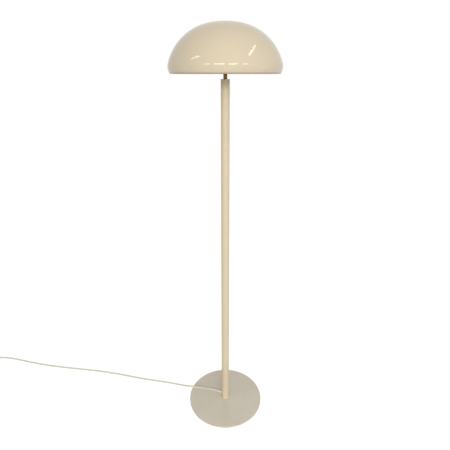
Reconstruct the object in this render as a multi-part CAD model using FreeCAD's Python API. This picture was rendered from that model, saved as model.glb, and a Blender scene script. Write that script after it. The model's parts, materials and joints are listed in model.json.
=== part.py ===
import FreeCAD, Part
import math
import os

# Floor lamp with a domed shade on a slim stem and a flat round foot.
# Millimetres. +Z is up, +X is right and -Y is the front.
# The origin is the middle of the foot's underside, on the floor.
os.makedirs("parts", exist_ok=True)

Vector = FreeCAD.Vector
UP = Vector(0, 0, 1)
FULL_TURN = 2 * math.pi

# Clearances
FIT_GAP = 0.05
LOOSE_GAP = 0.3
SEAT_GAP = 0.35

# Foot: felt pad, steel disc and its screw
PAD_R = 130.0
PAD_HOLE_R = 16.0
PAD_T = 2.0
FOOT_R = 135.0
FOOT_T = 6.0
FOOT_EDGE_R = 1.0
SCREW_R = 5.0
SCREW_HEAD_R = 9.8
SCREW_HEAD_RECESS = 0.2
SCREW_HEX_R = 3.5
SCREW_HEX_DEPTH = 3.0

# Stem
STEM_R = 14.0
STEM_WALL = 1.5
STEM_TOP_Z = 1190.0
STEM_PLUG_T = 7.0
SCREW_PAST_PLUG = 1.5
STEM_CAP_T = 2.0
STEM_CAP_EDGE_R = 0.5
STEM_SPIGOT_L = 16.0

# Threaded nipple that carries the lamp head, and what is on it
NIPPLE_R = 5.0
NIPPLE_BORE_R = 3.5
NIPPLE_BELOW_NUT = 3.0
NIPPLE_IN_HOLDER = 7.0
NUT_T = 5.0
NUT_FLATS_R = 7.0
WASHER_R = 8.5
WASHER_T = 1.2
SLEEVE_R = 6.0
SLEEVE_L = 18.0

# Shade carrier: a hub with three bent arms and rubber tips
HUB_R = 16.0
HUB_T = 6.0
ARM_R = 2.5
ARM_IN_HUB = 4.5
ARM_BEND_R = 14.0
ARM_COUNT = 3
FIRST_ARM_ANGLE = 90.0
ARM_CONTACT_ANGLE = 39.5
TIP_R = 4.5
TIP_L = 8.0
TIP_COVER_L = 5.5
TOOTHED_WASHER_R = 9.0
TOOTHED_WASHER_T = 1.0

# Shade: a dome of revolution whose outer line is four arcs
SHADE_R = 173.0
SHADE_H = 149.0
SHADE_WALL = 2.5
SHADE_RIM_ABOVE_STEM = 15.0
SHADE_TUCK_H = 19.6
SHADE_TUCK_R = 36.6
SHADE_SHOULDER_R = 52.5
SHADE_CROWN_ANGLE = 11.5
SHADE_SHOULDER_ANGLE = 73.2

# Lamp holder
NECK_R = 9.0
NECK_L = 5.0
HOLDER_R = 19.0
HOLDER_WALL = 2.0
CAP_CONE_L = 6.0
CAP_STRAIGHT_L = 9.0
COLLAR_WALL = 2.4
COLLAR_L = 3.5
SHELL_R = 19.5
SHELL_WALL = 2.0
SHELL_L = 36.0
SHELL_LIP_R = 14.9
SHELL_LIP_T = 2.0
SHELL_EDGE_R = 0.8
INSERT_T = 5.0
SCREW_SHELL_R = 14.2
SCREW_SHELL_WALL = 0.5
SCREW_SHELL_L = 24.5
CONTACT_R = 3.2
CONTACT_H = 2.2
CONTACT_SHANK_R = 1.5
GRUB_R = 1.5
TERMINAL_SIDE = 6.0
TERMINAL_H = 5.0
TERMINAL_AT_R = 10.0
TERMINAL_SCREW_R = 1.8
TERMINAL_SCREW_HEAD_R = 2.8
TERMINAL_SCREW_HEAD_T = 1.6

# Bulb
BULB_L = 76.0
BULB_R = 22.5
BULB_WALL = 0.8
BULB_CAP_R = 13.15
BULB_CAP_FROM_TIP = 4.0
BULB_CAP_L = 23.0
BULB_CAP_WALL = 0.6
BULB_TIP_R = 4.8
BULB_INSULATOR_R = 11.5

# Mains cord
CORD_R = 3.0
CORD_ON_FLOOR_Z = 3.2
EXIT_ANGLE = 160.0
EXIT_ABOVE_FOOT = 13.0
EXIT_HOLE_R = 4.6
CORE_R = 1.1
CORE_APART = 3.0
CORD_ABOVE_NIPPLE = 2.0

# Strain relief in the stem, along its own axis from the stem's axis
RELIEF_INNER_FLANGE_R = 5.6
RELIEF_INNER_FLANGE_T = 1.7
RELIEF_FLANGE_R = 6.0
RELIEF_FLANGE_T = 2.0
RELIEF_ROOT_R = 4.5
RELIEF_TIP_R = 3.3
RELIEF_L = 24.0

# Coil of the cord that is put away
COIL_X = -1021.0
COIL_Y = -66.0
COIL_R = 39.0
COIL_STEP = 6.6
COIL_LAYER = 6.45
COIL_TURNS_PER_LAYER = 2
COIL_STRAIGHT = 6.0
TIE_W = 8.0
TIE_T = 0.6
TIE_GAP = 0.6
TIE_CORNER_R = 3.0

# Foot switch on the cord, long side along Y
SWITCH_X = COIL_X - COIL_R
SWITCH_Y = 47.0
SWITCH_L = 74.0
SWITCH_W = 38.0
SWITCH_FOOT_R = 4.0
SWITCH_FOOT_T = 1.5
SWITCH_SPLIT_Z = 8.5
SWITCH_TOP_Z = 24.0
SWITCH_WALL = 2.0
SWITCH_EDGE_R = 5.0
SWITCH_RELIEF_R = 4.4
SWITCH_RELIEF_TIP_R = 3.3
SWITCH_RELIEF_L = 20.0
BUTTON_R = 10.0
BUTTON_PROUD = 1.5
BUTTON_EDGE_R = 1.5
BUTTON_FLANGE_R = 12.5
BUTTON_FLANGE_T = 2.0
BUTTON_SKIRT = 5.0
BUTTON_WALL = 1.5
BUTTON_ROOF_T = 3.0
BUTTON_TRAVEL = 3.0
BLOCK_L = 24.0
BLOCK_W = 18.0
BLOCK_BELOW_BUTTON = 2.5
SPRING_R = 5.5
SPRING_WIRE_R = 0.45
SPRING_TURNS = 5
SWITCH_SCREW_APART = 50.0
SWITCH_SCREW_R = 1.5
SWITCH_SCREW_HEAD_R = 2.9
SWITCH_SCREW_HEAD_T = 1.8
SWITCH_BOSS_R = 3.4
SWITCH_SCREW_L = 15.0

# Plug, pins along +Y
PLUG_W = 35.0
PLUG_FRONT_W = 26.0
PLUG_REAR_W = 15.0
PLUG_L = 36.0
PLUG_H = 13.7
PLUG_EDGE_R = 2.5
PLUG_FROM_COIL = 46.0
PLUG_RELIEF_L = 22.0
PLUG_RELIEF_R = 5.0
PLUG_RELIEF_TIP_R = 3.3
PIN_R = 2.0
PIN_L = 19.0
PIN_APART = 19.0
PIN_IN_PLUG = 8.0
PIN_SHANK_R = 1.5
PIN_SLEEVE_R = 1.8
PIN_SLEEVE_L = 10.0

# Places that follow from the sizes
FOOT_TOP_Z = PAD_T + FOOT_T
EXIT_Z = FOOT_TOP_Z + EXIT_ABOVE_FOOT
STEM_BORE_R = STEM_R - STEM_WALL
TUBE_TOP_Z = STEM_TOP_Z - STEM_CAP_T
SPIGOT_Z = TUBE_TOP_Z - STEM_SPIGOT_L
LOWER_NUT_Z = SPIGOT_Z - WASHER_T - NUT_T
NIPPLE_Z = LOWER_NUT_Z - NIPPLE_BELOW_NUT
HUB_Z = STEM_TOP_Z + SLEEVE_L
TOOTHED_WASHER_Z = HUB_Z + HUB_T
HOLDER_Z = TOOTHED_WASHER_Z + TOOTHED_WASHER_T
NIPPLE_TOP_Z = HOLDER_Z + NIPPLE_IN_HOLDER
CAP_CAVITY_Z = HOLDER_Z + NECK_L
CAP_SHOULDER_Z = CAP_CAVITY_Z + CAP_CONE_L
CAP_TOP_Z = CAP_SHOULDER_Z + CAP_STRAIGHT_L
INSERT_Z = CAP_TOP_Z + COLLAR_L
INSERT_TOP_Z = INSERT_Z + INSERT_T
SHELL_TOP_Z = CAP_TOP_Z + SHELL_L
BULB_TIP_Z = INSERT_TOP_Z + CONTACT_H + LOOSE_GAP
BULB_TOP_Z = BULB_TIP_Z + BULB_L
RIM_Z = STEM_TOP_Z + SHADE_RIM_ABOVE_STEM
COLLAR_R = SHELL_R - SHELL_WALL - FIT_GAP
INSERT_R = COLLAR_R
CORD_TOP_Z = NIPPLE_TOP_Z + CORD_ABOVE_NIPPLE
EXIT_WAY = Vector(math.cos(math.radians(EXIT_ANGLE)), math.sin(math.radians(EXIT_ANGLE)), 0)
RELIEF_INNER_R = math.sqrt(STEM_BORE_R ** 2 - RELIEF_INNER_FLANGE_R ** 2) - FIT_GAP
RELIEF_INNER_FACE_R = RELIEF_INNER_R - RELIEF_INNER_FLANGE_T
RELIEF_FLANGE_FACE_R = STEM_R + FIT_GAP
RELIEF_TIP_AT_R = RELIEF_FLANGE_FACE_R + RELIEF_FLANGE_T + RELIEF_L
RELIEF_TIP = EXIT_WAY * RELIEF_TIP_AT_R + UP * EXIT_Z
SWITCH_NEAR_Y = SWITCH_Y + SWITCH_L / 2
SWITCH_FAR_Y = SWITCH_Y - SWITCH_L / 2
SWITCH_IN = Vector(SWITCH_X, SWITCH_NEAR_Y + SWITCH_RELIEF_L, SWITCH_SPLIT_Z)
SWITCH_OUT = Vector(SWITCH_X, SWITCH_FAR_Y - SWITCH_RELIEF_L, SWITCH_SPLIT_Z)
SWITCH_FLOOR_Z = SWITCH_FOOT_T + SWITCH_WALL
COVER_ROOF_Z = SWITCH_TOP_Z - SWITCH_WALL
BUTTON_TOP_Z = SWITCH_TOP_Z + BUTTON_TRAVEL + BUTTON_PROUD
BUTTON_LOW_Z = COVER_ROOF_Z - BUTTON_SKIRT
BLOCK_TOP_Z = BUTTON_LOW_Z - BUTTON_TRAVEL - BLOCK_BELOW_BUTTON
BUTTON_ROOF_Z = BUTTON_TOP_Z - BUTTON_ROOF_T
COIL_Z = TIE_T + FIT_GAP + CORD_R
COIL_TOP_Z = COIL_Z + COIL_LAYER
COIL_IN = Vector(COIL_X - COIL_R, COIL_Y + COIL_STRAIGHT, COIL_Z)
COIL_OUT = Vector(COIL_X + COIL_R, COIL_Y + COIL_STRAIGHT, COIL_TOP_Z)
PLUG_X = COIL_X + COIL_R
PLUG_Z = PLUG_H / 2
PLUG_RELIEF_Y = COIL_Y + PLUG_FROM_COIL
PLUG_REAR_Y = PLUG_RELIEF_Y + PLUG_RELIEF_L
PLUG_FRONT_Y = PLUG_REAR_Y + PLUG_L

# The cord's points from the stem's strain relief to the foot switch
LEAD_POINTS = [
    RELIEF_TIP,
    RELIEF_TIP + EXIT_WAY * 14.0,
    Vector(-65.0, 25.0, 16.8),
    Vector(-81.0, 33.6, 11.7),
    Vector(-101.0, 38.4, 11.3),
    Vector(-120.0, 39.6, 11.6),
    Vector(-141.5, 42.6, 11.8),
    Vector(-164.0, 52.2, 5.8),
    Vector(-187.0, 60.4, 3.5),
    Vector(-214.0, 67.0, CORD_ON_FLOOR_Z),
    Vector(-246.0, 73.8, CORD_ON_FLOOR_Z),
    Vector(-287.0, 81.0, CORD_ON_FLOOR_Z),
    Vector(-348.0, 93.0, CORD_ON_FLOOR_Z),
    Vector(-424.0, 112.0, CORD_ON_FLOOR_Z),
    Vector(-505.0, 129.0, CORD_ON_FLOOR_Z),
    Vector(-588.0, 141.0, CORD_ON_FLOOR_Z),
    Vector(-672.0, 151.5, CORD_ON_FLOOR_Z),
    Vector(-756.0, 165.0, CORD_ON_FLOOR_Z),
    Vector(-838.0, 183.0, CORD_ON_FLOOR_Z),
    Vector(-914.0, 203.5, CORD_ON_FLOOR_Z),
    Vector(-968.0, 213.5, CORD_ON_FLOOR_Z),
    Vector(-1010.0, 210.5, CORD_ON_FLOOR_Z),
    Vector(-1040.0, 190.0, CORD_ON_FLOOR_Z),
    Vector(-1054.5, 163.0, 3.6),
    Vector(-1059.5, 140.0, 6.2),
    SWITCH_IN + Vector(0, 17.0, 0),
    SWITCH_IN,
]

# From the foot switch to the coil, and from the coil to the plug
LINK_POINTS = [
    SWITCH_OUT,
    SWITCH_OUT - Vector(0, 12.0, 0),
    Vector(SWITCH_X, -38.0, 5.6),
    COIL_IN + Vector(0, 10.0, 0),
    COIL_IN,
]
TAIL_POINTS = [
    COIL_OUT,
    COIL_OUT + Vector(0, 9.0, 0),
    Vector(PLUG_X, -40.0, 8.6),
    Vector(PLUG_X, PLUG_RELIEF_Y - 10.0, PLUG_Z),
    Vector(PLUG_X, PLUG_RELIEF_Y, PLUG_Z),
]


def disc(radius, low, high, x=0.0, y=0.0):
    return Part.makeCylinder(radius, high - low, Vector(x, y, low))


def ring(outer, inner, low, high):
    return disc(outer, low, high).cut(disc(inner, low - 1, high + 1))


def turned(points):
    """A solid turned about Z from a closed outline of (radius, height) points."""
    corners = [Vector(r, 0, z) for r, z in points]
    face = Part.Face(Part.makePolygon(corners + corners[:1]))
    return face.revolve(Vector(), UP, 360)


def box(x, y, z):
    """A box from three (low, high) pairs."""
    return Part.makeBox(x[1] - x[0], y[1] - y[0], z[1] - z[0], Vector(x[0], y[0], z[0]))


def hexagon(flats_r, low, high, turn=0.0):
    corner_r = flats_r / math.cos(math.pi / 6)
    corners = []
    for k in range(7):
        angle = k * math.pi / 3 + math.radians(turn)
        corners.append(Vector(corner_r * math.cos(angle), corner_r * math.sin(angle), low))
    return Part.Face(Part.makePolygon(corners)).extrude(UP * (high - low))


def fillet_where(shape, radius, wanted):
    edges = [e for e in shape.Edges if wanted(e)]
    return shape.makeFillet(radius, edges)


def at_height(edge, z):
    return abs(edge.BoundBox.ZMin - z) < 1e-4 and abs(edge.BoundBox.ZMax - z) < 1e-4


def along(direction, point, shape):
    """Moves a shape built along +Z so that it runs along a direction from a point."""
    placed = shape.copy()
    placed.Placement = FreeCAD.Placement(point, FreeCAD.Rotation(UP, direction))
    return placed


def group(shapes):
    return Part.makeCompound(shapes)


def save(name, shape):
    shape.exportStep("parts/" + name + ".step")
    print(f"{name}: {len(shape.Solids)} solid, {shape.Volume:.1f} mm3")


def arc_from(start, tangent, end):
    """The arc that leaves start along tangent and ends at end, with its radius and end tangent."""
    chord = end - start
    across = chord / chord.Length
    cosine = max(-1.0, min(1.0, tangent.dot(across)))
    half = math.acos(cosine)
    if half < 1e-6:
        return Part.LineSegment(start, end).toShape(), math.inf, tangent
    side = tangent - across * cosine
    side = side / side.Length
    middle = (start + end) / 2 + side * (chord.Length / 2 * math.tan(half / 2))
    edge = Part.Arc(start, middle, end).toShape()
    return edge, chord.Length / 2 / math.sin(half), across * (2 * cosine) - tangent


def biarc(start, way, end, end_way):
    """Two arcs that meet smoothly and join two points with given directions."""
    span = end - start
    ways = way + end_way
    bend = 2 * (1 - way.dot(end_way))
    reach = span.dot(span) / (2 * span.dot(ways))
    if bend > 1e-9:
        part = span.dot(ways)
        reach = (-part + math.sqrt(part * part + bend * span.dot(span))) / bend
    joint = (start + way * reach + end - end_way * reach) / 2
    first, first_r, joint_way = arc_from(start, way, joint)
    second, second_r, _ = arc_from(joint, joint_way, end)
    return [first, second], min(first_r, second_r)


def rounded(points):
    """Straight runs joined by tangent arcs, each as large as its two runs allow."""
    edges = []
    radii = []
    last = points[0]
    for before, corner, after in zip(points, points[1:], points[2:]):
        come = corner - before
        leave = after - corner
        shorter = min(come.Length, leave.Length)
        turn = come.getAngle(leave)
        cut = 0.45 * shorter
        start = corner - come * (cut / come.Length)
        end = corner + leave * (cut / leave.Length)
        edge, _, _ = arc_from(start, come / come.Length, end)
        edges += [Part.LineSegment(last, start).toShape(), edge]
        radii.append(cut / math.tan(turn / 2))
        last = end
    edges.append(Part.LineSegment(last, points[-1]).toShape())
    return edges, radii


def swept(edges, radius):
    """A round tube along a smooth path."""
    path = Part.Wire(edges)
    first = edges[0]
    way = first.tangentAt(first.FirstParameter)
    section = Part.Wire(Part.Circle(first.valueAt(first.FirstParameter), way, radius).toShape())
    return path.makePipeShell([section], True, False), path.Length


def tube(name, points, radius):
    edges, radii = rounded(points)
    solid, length = swept(edges, radius)
    expected = math.pi * radius ** 2 * length
    print(f"{name}: length {length:.1f}, radii {[round(r) for r in radii]}")
    print(f"{name}: volume {solid.Volume:.1f}, section times length {expected:.1f}")
    return solid


def shade_arcs(inset):
    """Centres, radii and angles of the dome's arcs, moved inwards by inset."""
    crown = math.radians(SHADE_CROWN_ANGLE)
    shoulder = math.radians(SHADE_SHOULDER_ANGLE)
    # Two unknown radii from the dome's width and height
    a = math.sin(crown)
    b = math.sin(shoulder) - a
    c = 1 - math.cos(crown)
    d = math.cos(crown) - math.cos(shoulder)
    width = SHADE_R - SHADE_SHOULDER_R * (1 - math.sin(shoulder))
    height = SHADE_H - SHADE_TUCK_H - SHADE_SHOULDER_R * math.cos(shoulder)
    scale = a * d - b * c
    crown_r = (width * d - b * height) / scale
    middle_r = (a * height - width * c) / scale
    low = RIM_Z + SHADE_TUCK_H
    shoulder_at = (SHADE_R - SHADE_SHOULDER_R, low)
    middle_at = (
        shoulder_at[0] - (middle_r - SHADE_SHOULDER_R) * math.sin(shoulder),
        shoulder_at[1] - (middle_r - SHADE_SHOULDER_R) * math.cos(shoulder),
    )
    crown_at = (0.0, RIM_Z + SHADE_H - crown_r)
    tuck_at = (SHADE_R - SHADE_TUCK_R, low)
    half_wall = SHADE_WALL / 2
    tuck = math.asin((SHADE_TUCK_H - half_wall) / (SHADE_TUCK_R - half_wall))
    return [
        (crown_at, crown_r - inset, 0.0, crown),
        (middle_at, middle_r - inset, crown, shoulder),
        (shoulder_at, SHADE_SHOULDER_R - inset, shoulder, math.pi / 2),
        (tuck_at, SHADE_TUCK_R - inset, math.pi / 2, math.pi / 2 + tuck),
    ]


def on_arc(arc, angle):
    """The point of an arc at an angle from straight up."""
    (x, z), radius, _, _ = arc
    return Vector(x + radius * math.sin(angle), 0, z + radius * math.cos(angle))


def shade_dome():
    outer = shade_arcs(0.0)
    inner = shade_arcs(SHADE_WALL)
    edges = []
    for arcs in (outer, inner):
        for arc in arcs:
            _, _, start, end = arc
            ends = [on_arc(arc, a) for a in (start, (start + end) / 2, end)]
            edges.append(Part.Arc(*ends).toShape())
    rim_angle = outer[-1][3]
    middle = shade_arcs(SHADE_WALL / 2)[-1]
    rim_way = Vector(math.cos(rim_angle), 0, -math.sin(rim_angle))
    rim_tip = on_arc(middle, rim_angle) + rim_way * (SHADE_WALL / 2)
    rim = Part.Arc(on_arc(outer[-1], rim_angle), rim_tip, on_arc(inner[-1], rim_angle))
    top = Part.LineSegment(on_arc(outer[0], 0.0), on_arc(inner[0], 0.0))
    outline = Part.Wire(Part.__sortEdges__(edges + [rim.toShape(), top.toShape()]))
    return Part.Face(outline).revolve(Vector(), UP, 360)


def foot_disc():
    plate = disc(FOOT_R, PAD_T, FOOT_TOP_Z)
    plate = fillet_where(plate, FOOT_EDGE_R, lambda e: at_height(e, PAD_T) or at_height(e, FOOT_TOP_Z))
    wide = SCREW_HEAD_R + FIT_GAP + SCREW_HEAD_RECESS
    hole_r = SCREW_R + FIT_GAP
    sink = Part.makeCone(wide, hole_r, wide - hole_r, Vector(0, 0, PAD_T))
    return plate.cut(sink).cut(disc(hole_r, PAD_T, FOOT_TOP_Z + 1))


def foot_screw():
    head_z = PAD_T + SCREW_HEAD_RECESS
    head = Part.makeCone(SCREW_HEAD_R, SCREW_R, SCREW_HEAD_R - SCREW_R, Vector(0, 0, head_z))
    top = FOOT_TOP_Z + STEM_PLUG_T + SCREW_PAST_PLUG
    shank = disc(SCREW_R, head_z, top)
    socket = hexagon(SCREW_HEX_R, head_z - 1, head_z + SCREW_HEX_DEPTH)
    return head.fuse(shank).cut(socket).removeSplitter()


def stem_tube():
    tube_body = ring(STEM_R, STEM_BORE_R, FOOT_TOP_Z, TUBE_TOP_Z)
    hole = along(EXIT_WAY, UP * EXIT_Z, Part.makeCylinder(EXIT_HOLE_R, STEM_R * 2))
    return tube_body.cut(hole)


def stem_plug():
    return ring(STEM_BORE_R - FIT_GAP, SCREW_R + FIT_GAP, FOOT_TOP_Z, FOOT_TOP_Z + STEM_PLUG_T)


def stem_cap():
    flange = disc(STEM_R, TUBE_TOP_Z, STEM_TOP_Z)
    flange = fillet_where(flange, STEM_CAP_EDGE_R, lambda e: at_height(e, STEM_TOP_Z))
    spigot = disc(STEM_BORE_R - FIT_GAP, SPIGOT_Z, TUBE_TOP_Z)
    bore = disc(NIPPLE_R + FIT_GAP, SPIGOT_Z - 1, STEM_TOP_Z + 1)
    return flange.fuse(spigot).cut(bore).removeSplitter()


def nipple():
    return ring(NIPPLE_R, NIPPLE_BORE_R, NIPPLE_Z, NIPPLE_TOP_Z)


def lower_nut():
    nut = hexagon(NUT_FLATS_R, LOWER_NUT_Z, LOWER_NUT_Z + NUT_T)
    return nut.cut(disc(NIPPLE_R + FIT_GAP, LOWER_NUT_Z - 1, LOWER_NUT_Z + NUT_T + 1))


def lower_washer():
    return ring(WASHER_R, NIPPLE_R + FIT_GAP, SPIGOT_Z - WASHER_T, SPIGOT_Z)


def copper_sleeve():
    return ring(SLEEVE_R, NIPPLE_R + FIT_GAP, STEM_TOP_Z, HUB_Z)


def arm_angles():
    return [FIRST_ARM_ANGLE + 360.0 / ARM_COUNT * k for k in range(ARM_COUNT)]


def spun(shape, angle):
    return shape.rotated(Vector(), UP, angle)


def arm_line():
    """The arm's bend point and its end under the rubber tip, in the XZ plane."""
    inner = shade_arcs(SHADE_WALL)[1]
    angle = math.radians(ARM_CONTACT_ANGLE)
    way = Vector(math.sin(angle), 0, math.cos(angle))
    seat = on_arc(inner, angle) - way * SEAT_GAP
    hub_z = HUB_Z + HUB_T / 2
    end = seat - way * (TIP_L - TIP_COVER_L)
    bend = end - way * ((end.z - hub_z) / way.z)
    return bend, end, way


def carrier_hub():
    hub = ring(HUB_R, NIPPLE_R + FIT_GAP, HUB_Z, HUB_Z + HUB_T)
    for angle in arm_angles():
        start = Vector(HUB_R - ARM_IN_HUB, 0, HUB_Z + HUB_T / 2)
        hole = along(Vector(1, 0, 0), start, Part.makeCylinder(ARM_R + FIT_GAP, HUB_R))
        hub = hub.cut(spun(hole, angle))
    return hub


def carrier_arms():
    bend, end, way = arm_line()
    start = Vector(HUB_R - ARM_IN_HUB + FIT_GAP, 0, bend.z)
    turn = math.pi / 2 - math.radians(ARM_CONTACT_ANGLE)
    cut = ARM_BEND_R * math.tan(turn / 2)
    before = bend - Vector(cut, 0, 0)
    after = bend + way * cut
    arc, _, _ = arc_from(before, Vector(1, 0, 0), after)
    edges = [Part.LineSegment(start, before).toShape(), arc, Part.LineSegment(after, end).toShape()]
    arm, _ = swept(edges, ARM_R)
    return group([spun(arm, angle) for angle in arm_angles()])


def carrier_tips():
    _, end, way = arm_line()
    foot = end - way * TIP_COVER_L
    tip = Part.makeCylinder(TIP_R, TIP_L)
    tip = fillet_where(tip, TIP_R / 4, lambda e: at_height(e, TIP_L))
    tip = tip.cut(Part.makeCylinder(ARM_R + FIT_GAP, TIP_COVER_L))
    tip = along(way, foot, tip)
    return group([spun(tip, angle) for angle in arm_angles()])


def toothed_washer():
    return ring(TOOTHED_WASHER_R, NIPPLE_R + FIT_GAP, TOOTHED_WASHER_Z, HOLDER_Z)


def holder_cap():
    bore = NIPPLE_R + FIT_GAP
    inside = HOLDER_R - HOLDER_WALL
    outline = [
        (bore, HOLDER_Z),
        (NECK_R, HOLDER_Z),
        (NECK_R, CAP_CAVITY_Z),
        (HOLDER_R, CAP_SHOULDER_Z),
        (HOLDER_R, CAP_TOP_Z),
        (COLLAR_R, CAP_TOP_Z),
        (COLLAR_R, INSERT_Z),
        (COLLAR_R - COLLAR_WALL, INSERT_Z),
        (COLLAR_R - COLLAR_WALL, CAP_TOP_Z),
        (inside - COLLAR_WALL / 2, CAP_SHOULDER_Z),
        (NECK_R - HOLDER_WALL, CAP_CAVITY_Z),
        (bore, CAP_CAVITY_Z),
    ]
    grub_hole = Part.makeCylinder(GRUB_R + FIT_GAP, NECK_R * 2)
    grub_at = Vector(0, 0, HOLDER_Z + NECK_L / 2)
    return turned(outline).cut(along(Vector(1, 0, 0), grub_at, grub_hole))


def holder_grub_screw():
    start = NIPPLE_R + FIT_GAP
    at = Vector(start, 0, HOLDER_Z + NECK_L / 2)
    screw = Part.makeCylinder(GRUB_R, NECK_R - start - FIT_GAP)
    return along(Vector(1, 0, 0), at, screw)


def holder_shell():
    inside = SHELL_R - SHELL_WALL
    outline = [
        (inside, CAP_TOP_Z),
        (SHELL_R, CAP_TOP_Z),
        (SHELL_R, SHELL_TOP_Z - SHELL_EDGE_R),
        (SHELL_R - SHELL_EDGE_R, SHELL_TOP_Z),
        (SHELL_LIP_R, SHELL_TOP_Z),
        (SHELL_LIP_R, SHELL_TOP_Z - SHELL_LIP_T),
        (inside, SHELL_TOP_Z - SHELL_LIP_T),
    ]
    return turned(outline)


def holder_insert():
    hole = CONTACT_SHANK_R + FIT_GAP
    return ring(INSERT_R, hole, INSERT_Z, INSERT_TOP_Z)


def holder_contact():
    button = disc(CONTACT_R, INSERT_TOP_Z, INSERT_TOP_Z + CONTACT_H)
    shank = disc(CONTACT_SHANK_R, INSERT_Z - CONTACT_SHANK_R, INSERT_TOP_Z)
    return button.fuse(shank).removeSplitter()


def holder_screw_shell():
    inside = SCREW_SHELL_R - SCREW_SHELL_WALL
    return ring(SCREW_SHELL_R, inside, INSERT_TOP_Z, INSERT_TOP_Z + SCREW_SHELL_L)


def holder_terminals():
    half = TERMINAL_SIDE / 2
    low = INSERT_Z - TERMINAL_H
    blocks = []
    for side in (-1, 1):
        x = side * TERMINAL_AT_R
        block = box((x - half, x + half), (-half, half), (low, INSERT_Z))
        screw_way = Part.makeCylinder(TERMINAL_SCREW_R + FIT_GAP, half)
        at = Vector(x, -half, low + TERMINAL_H / 2)
        blocks.append(block.cut(along(Vector(0, 1, 0), at, screw_way)))
    return group(blocks)


def terminal_screws():
    low = INSERT_Z - TERMINAL_H
    screws = []
    for side in (-1, 1):
        shank = Part.makeCylinder(TERMINAL_SCREW_R, TERMINAL_SIDE / 2 - LOOSE_GAP)
        head = disc(TERMINAL_SCREW_HEAD_R - LOOSE_GAP, -TERMINAL_SCREW_HEAD_T, 0)
        screw = head.fuse(shank).removeSplitter()
        at = Vector(side * TERMINAL_AT_R, -TERMINAL_SIDE / 2, low + TERMINAL_H / 2)
        screws.append(along(Vector(0, 1, 0), at, screw))
    return group(screws)


def bulb_globe():
    """A hollow round bulb whose neck stands in the metal cap."""
    centre = BULB_TOP_Z - BULB_R
    neck_r = BULB_CAP_R - BULB_CAP_WALL - FIT_GAP
    neck_z = BULB_TIP_Z + BULB_CAP_FROM_TIP + BULB_CAP_L
    low = neck_z - BULB_CAP_L / 2
    edges = []
    sides = []
    for inset in (0.0, BULB_WALL):
        radius = BULB_R - inset
        waist = math.asin((neck_r - inset) / radius)
        foot = Vector(neck_r - inset, 0, centre - radius * math.cos(waist))
        side = Vector(radius, 0, centre)
        top = Vector(0, 0, centre + radius)
        slant = math.pi / 4
        up = Vector(radius * math.sin(slant), 0, centre + radius * math.cos(slant))
        mid = (math.pi / 2 + waist) / 2
        down = Vector(radius * math.sin(mid), 0, centre - radius * math.cos(mid))
        end = Vector(neck_r - inset, 0, low)
        edges.append(Part.Arc(top, up, side).toShape())
        edges.append(Part.Arc(side, down, foot).toShape())
        edges.append(Part.LineSegment(foot, end).toShape())
        sides.append((top, end))
    for a, b in zip(*sides):
        edges.append(Part.LineSegment(a, b).toShape())
    outline = Part.Wire(Part.__sortEdges__(edges))
    return Part.Face(outline).revolve(Vector(), UP, 360)


def bulb_cap():
    low = BULB_TIP_Z + BULB_CAP_FROM_TIP
    inside = BULB_CAP_R - BULB_CAP_WALL
    return ring(BULB_CAP_R, inside, low, low + BULB_CAP_L)


def bulb_contact():
    """The insulating cone that closes the cap, with the contact at its tip."""
    cap_z = BULB_TIP_Z + BULB_CAP_FROM_TIP
    inside = BULB_CAP_R - BULB_CAP_WALL - FIT_GAP
    outline = [
        (0, BULB_TIP_Z),
        (BULB_TIP_R, BULB_TIP_Z),
        (BULB_TIP_R, BULB_TIP_Z + 1.0),
        (BULB_INSULATOR_R, cap_z),
        (inside, cap_z),
        (inside, cap_z + BULB_CAP_FROM_TIP),
        (0, cap_z + BULB_CAP_FROM_TIP),
    ]
    return turned(outline)


def strain_relief():
    """A tapered bush through the stem's wall; its outline runs along the exit."""
    hole_r = EXIT_HOLE_R - FIT_GAP
    flange_end = RELIEF_FLANGE_FACE_R + RELIEF_FLANGE_T
    outline = [
        (0, RELIEF_INNER_FACE_R),
        (RELIEF_INNER_FLANGE_R, RELIEF_INNER_FACE_R),
        (RELIEF_INNER_FLANGE_R, RELIEF_INNER_R),
        (hole_r, RELIEF_INNER_R),
        (hole_r, RELIEF_FLANGE_FACE_R),
        (RELIEF_FLANGE_R, RELIEF_FLANGE_FACE_R),
        (RELIEF_FLANGE_R, flange_end),
        (RELIEF_ROOT_R, flange_end),
        (RELIEF_TIP_R, RELIEF_TIP_AT_R),
        (0, RELIEF_TIP_AT_R),
    ]
    return along(EXIT_WAY, UP * EXIT_Z, turned(outline))


def inner_cord():
    """The sheathed cord inside the stem, from the strain relief up into the lamp holder."""
    start = EXIT_WAY * RELIEF_INNER_FACE_R + UP * EXIT_Z
    bend_r = RELIEF_INNER_FACE_R
    end = UP * (EXIT_Z + bend_r)
    arc, _, _ = arc_from(start, EXIT_WAY * -1, end)
    rise = Part.LineSegment(end, UP * CORD_TOP_Z).toShape()
    solid, length = swept([arc, rise], CORD_R)
    print(f"inner_cord: length {length:.1f}")
    return solid


def core_wires():
    """The two cores between the end of the sheath and the terminals."""
    low = INSERT_Z - TERMINAL_H
    rise = low - CORD_TOP_Z
    wires = []
    for side in (-1, 1):
        points = [
            Vector(side * CORE_APART / 2, 0, CORD_TOP_Z),
            Vector(side * CORE_APART / 2, 0, CORD_TOP_Z + rise * 0.3),
            Vector(side * TERMINAL_AT_R, 0, low - rise * 0.3),
            Vector(side * TERMINAL_AT_R, 0, low),
        ]
        wires.append(tube("core_wires", points, CORE_R))
    return group(wires)


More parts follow.
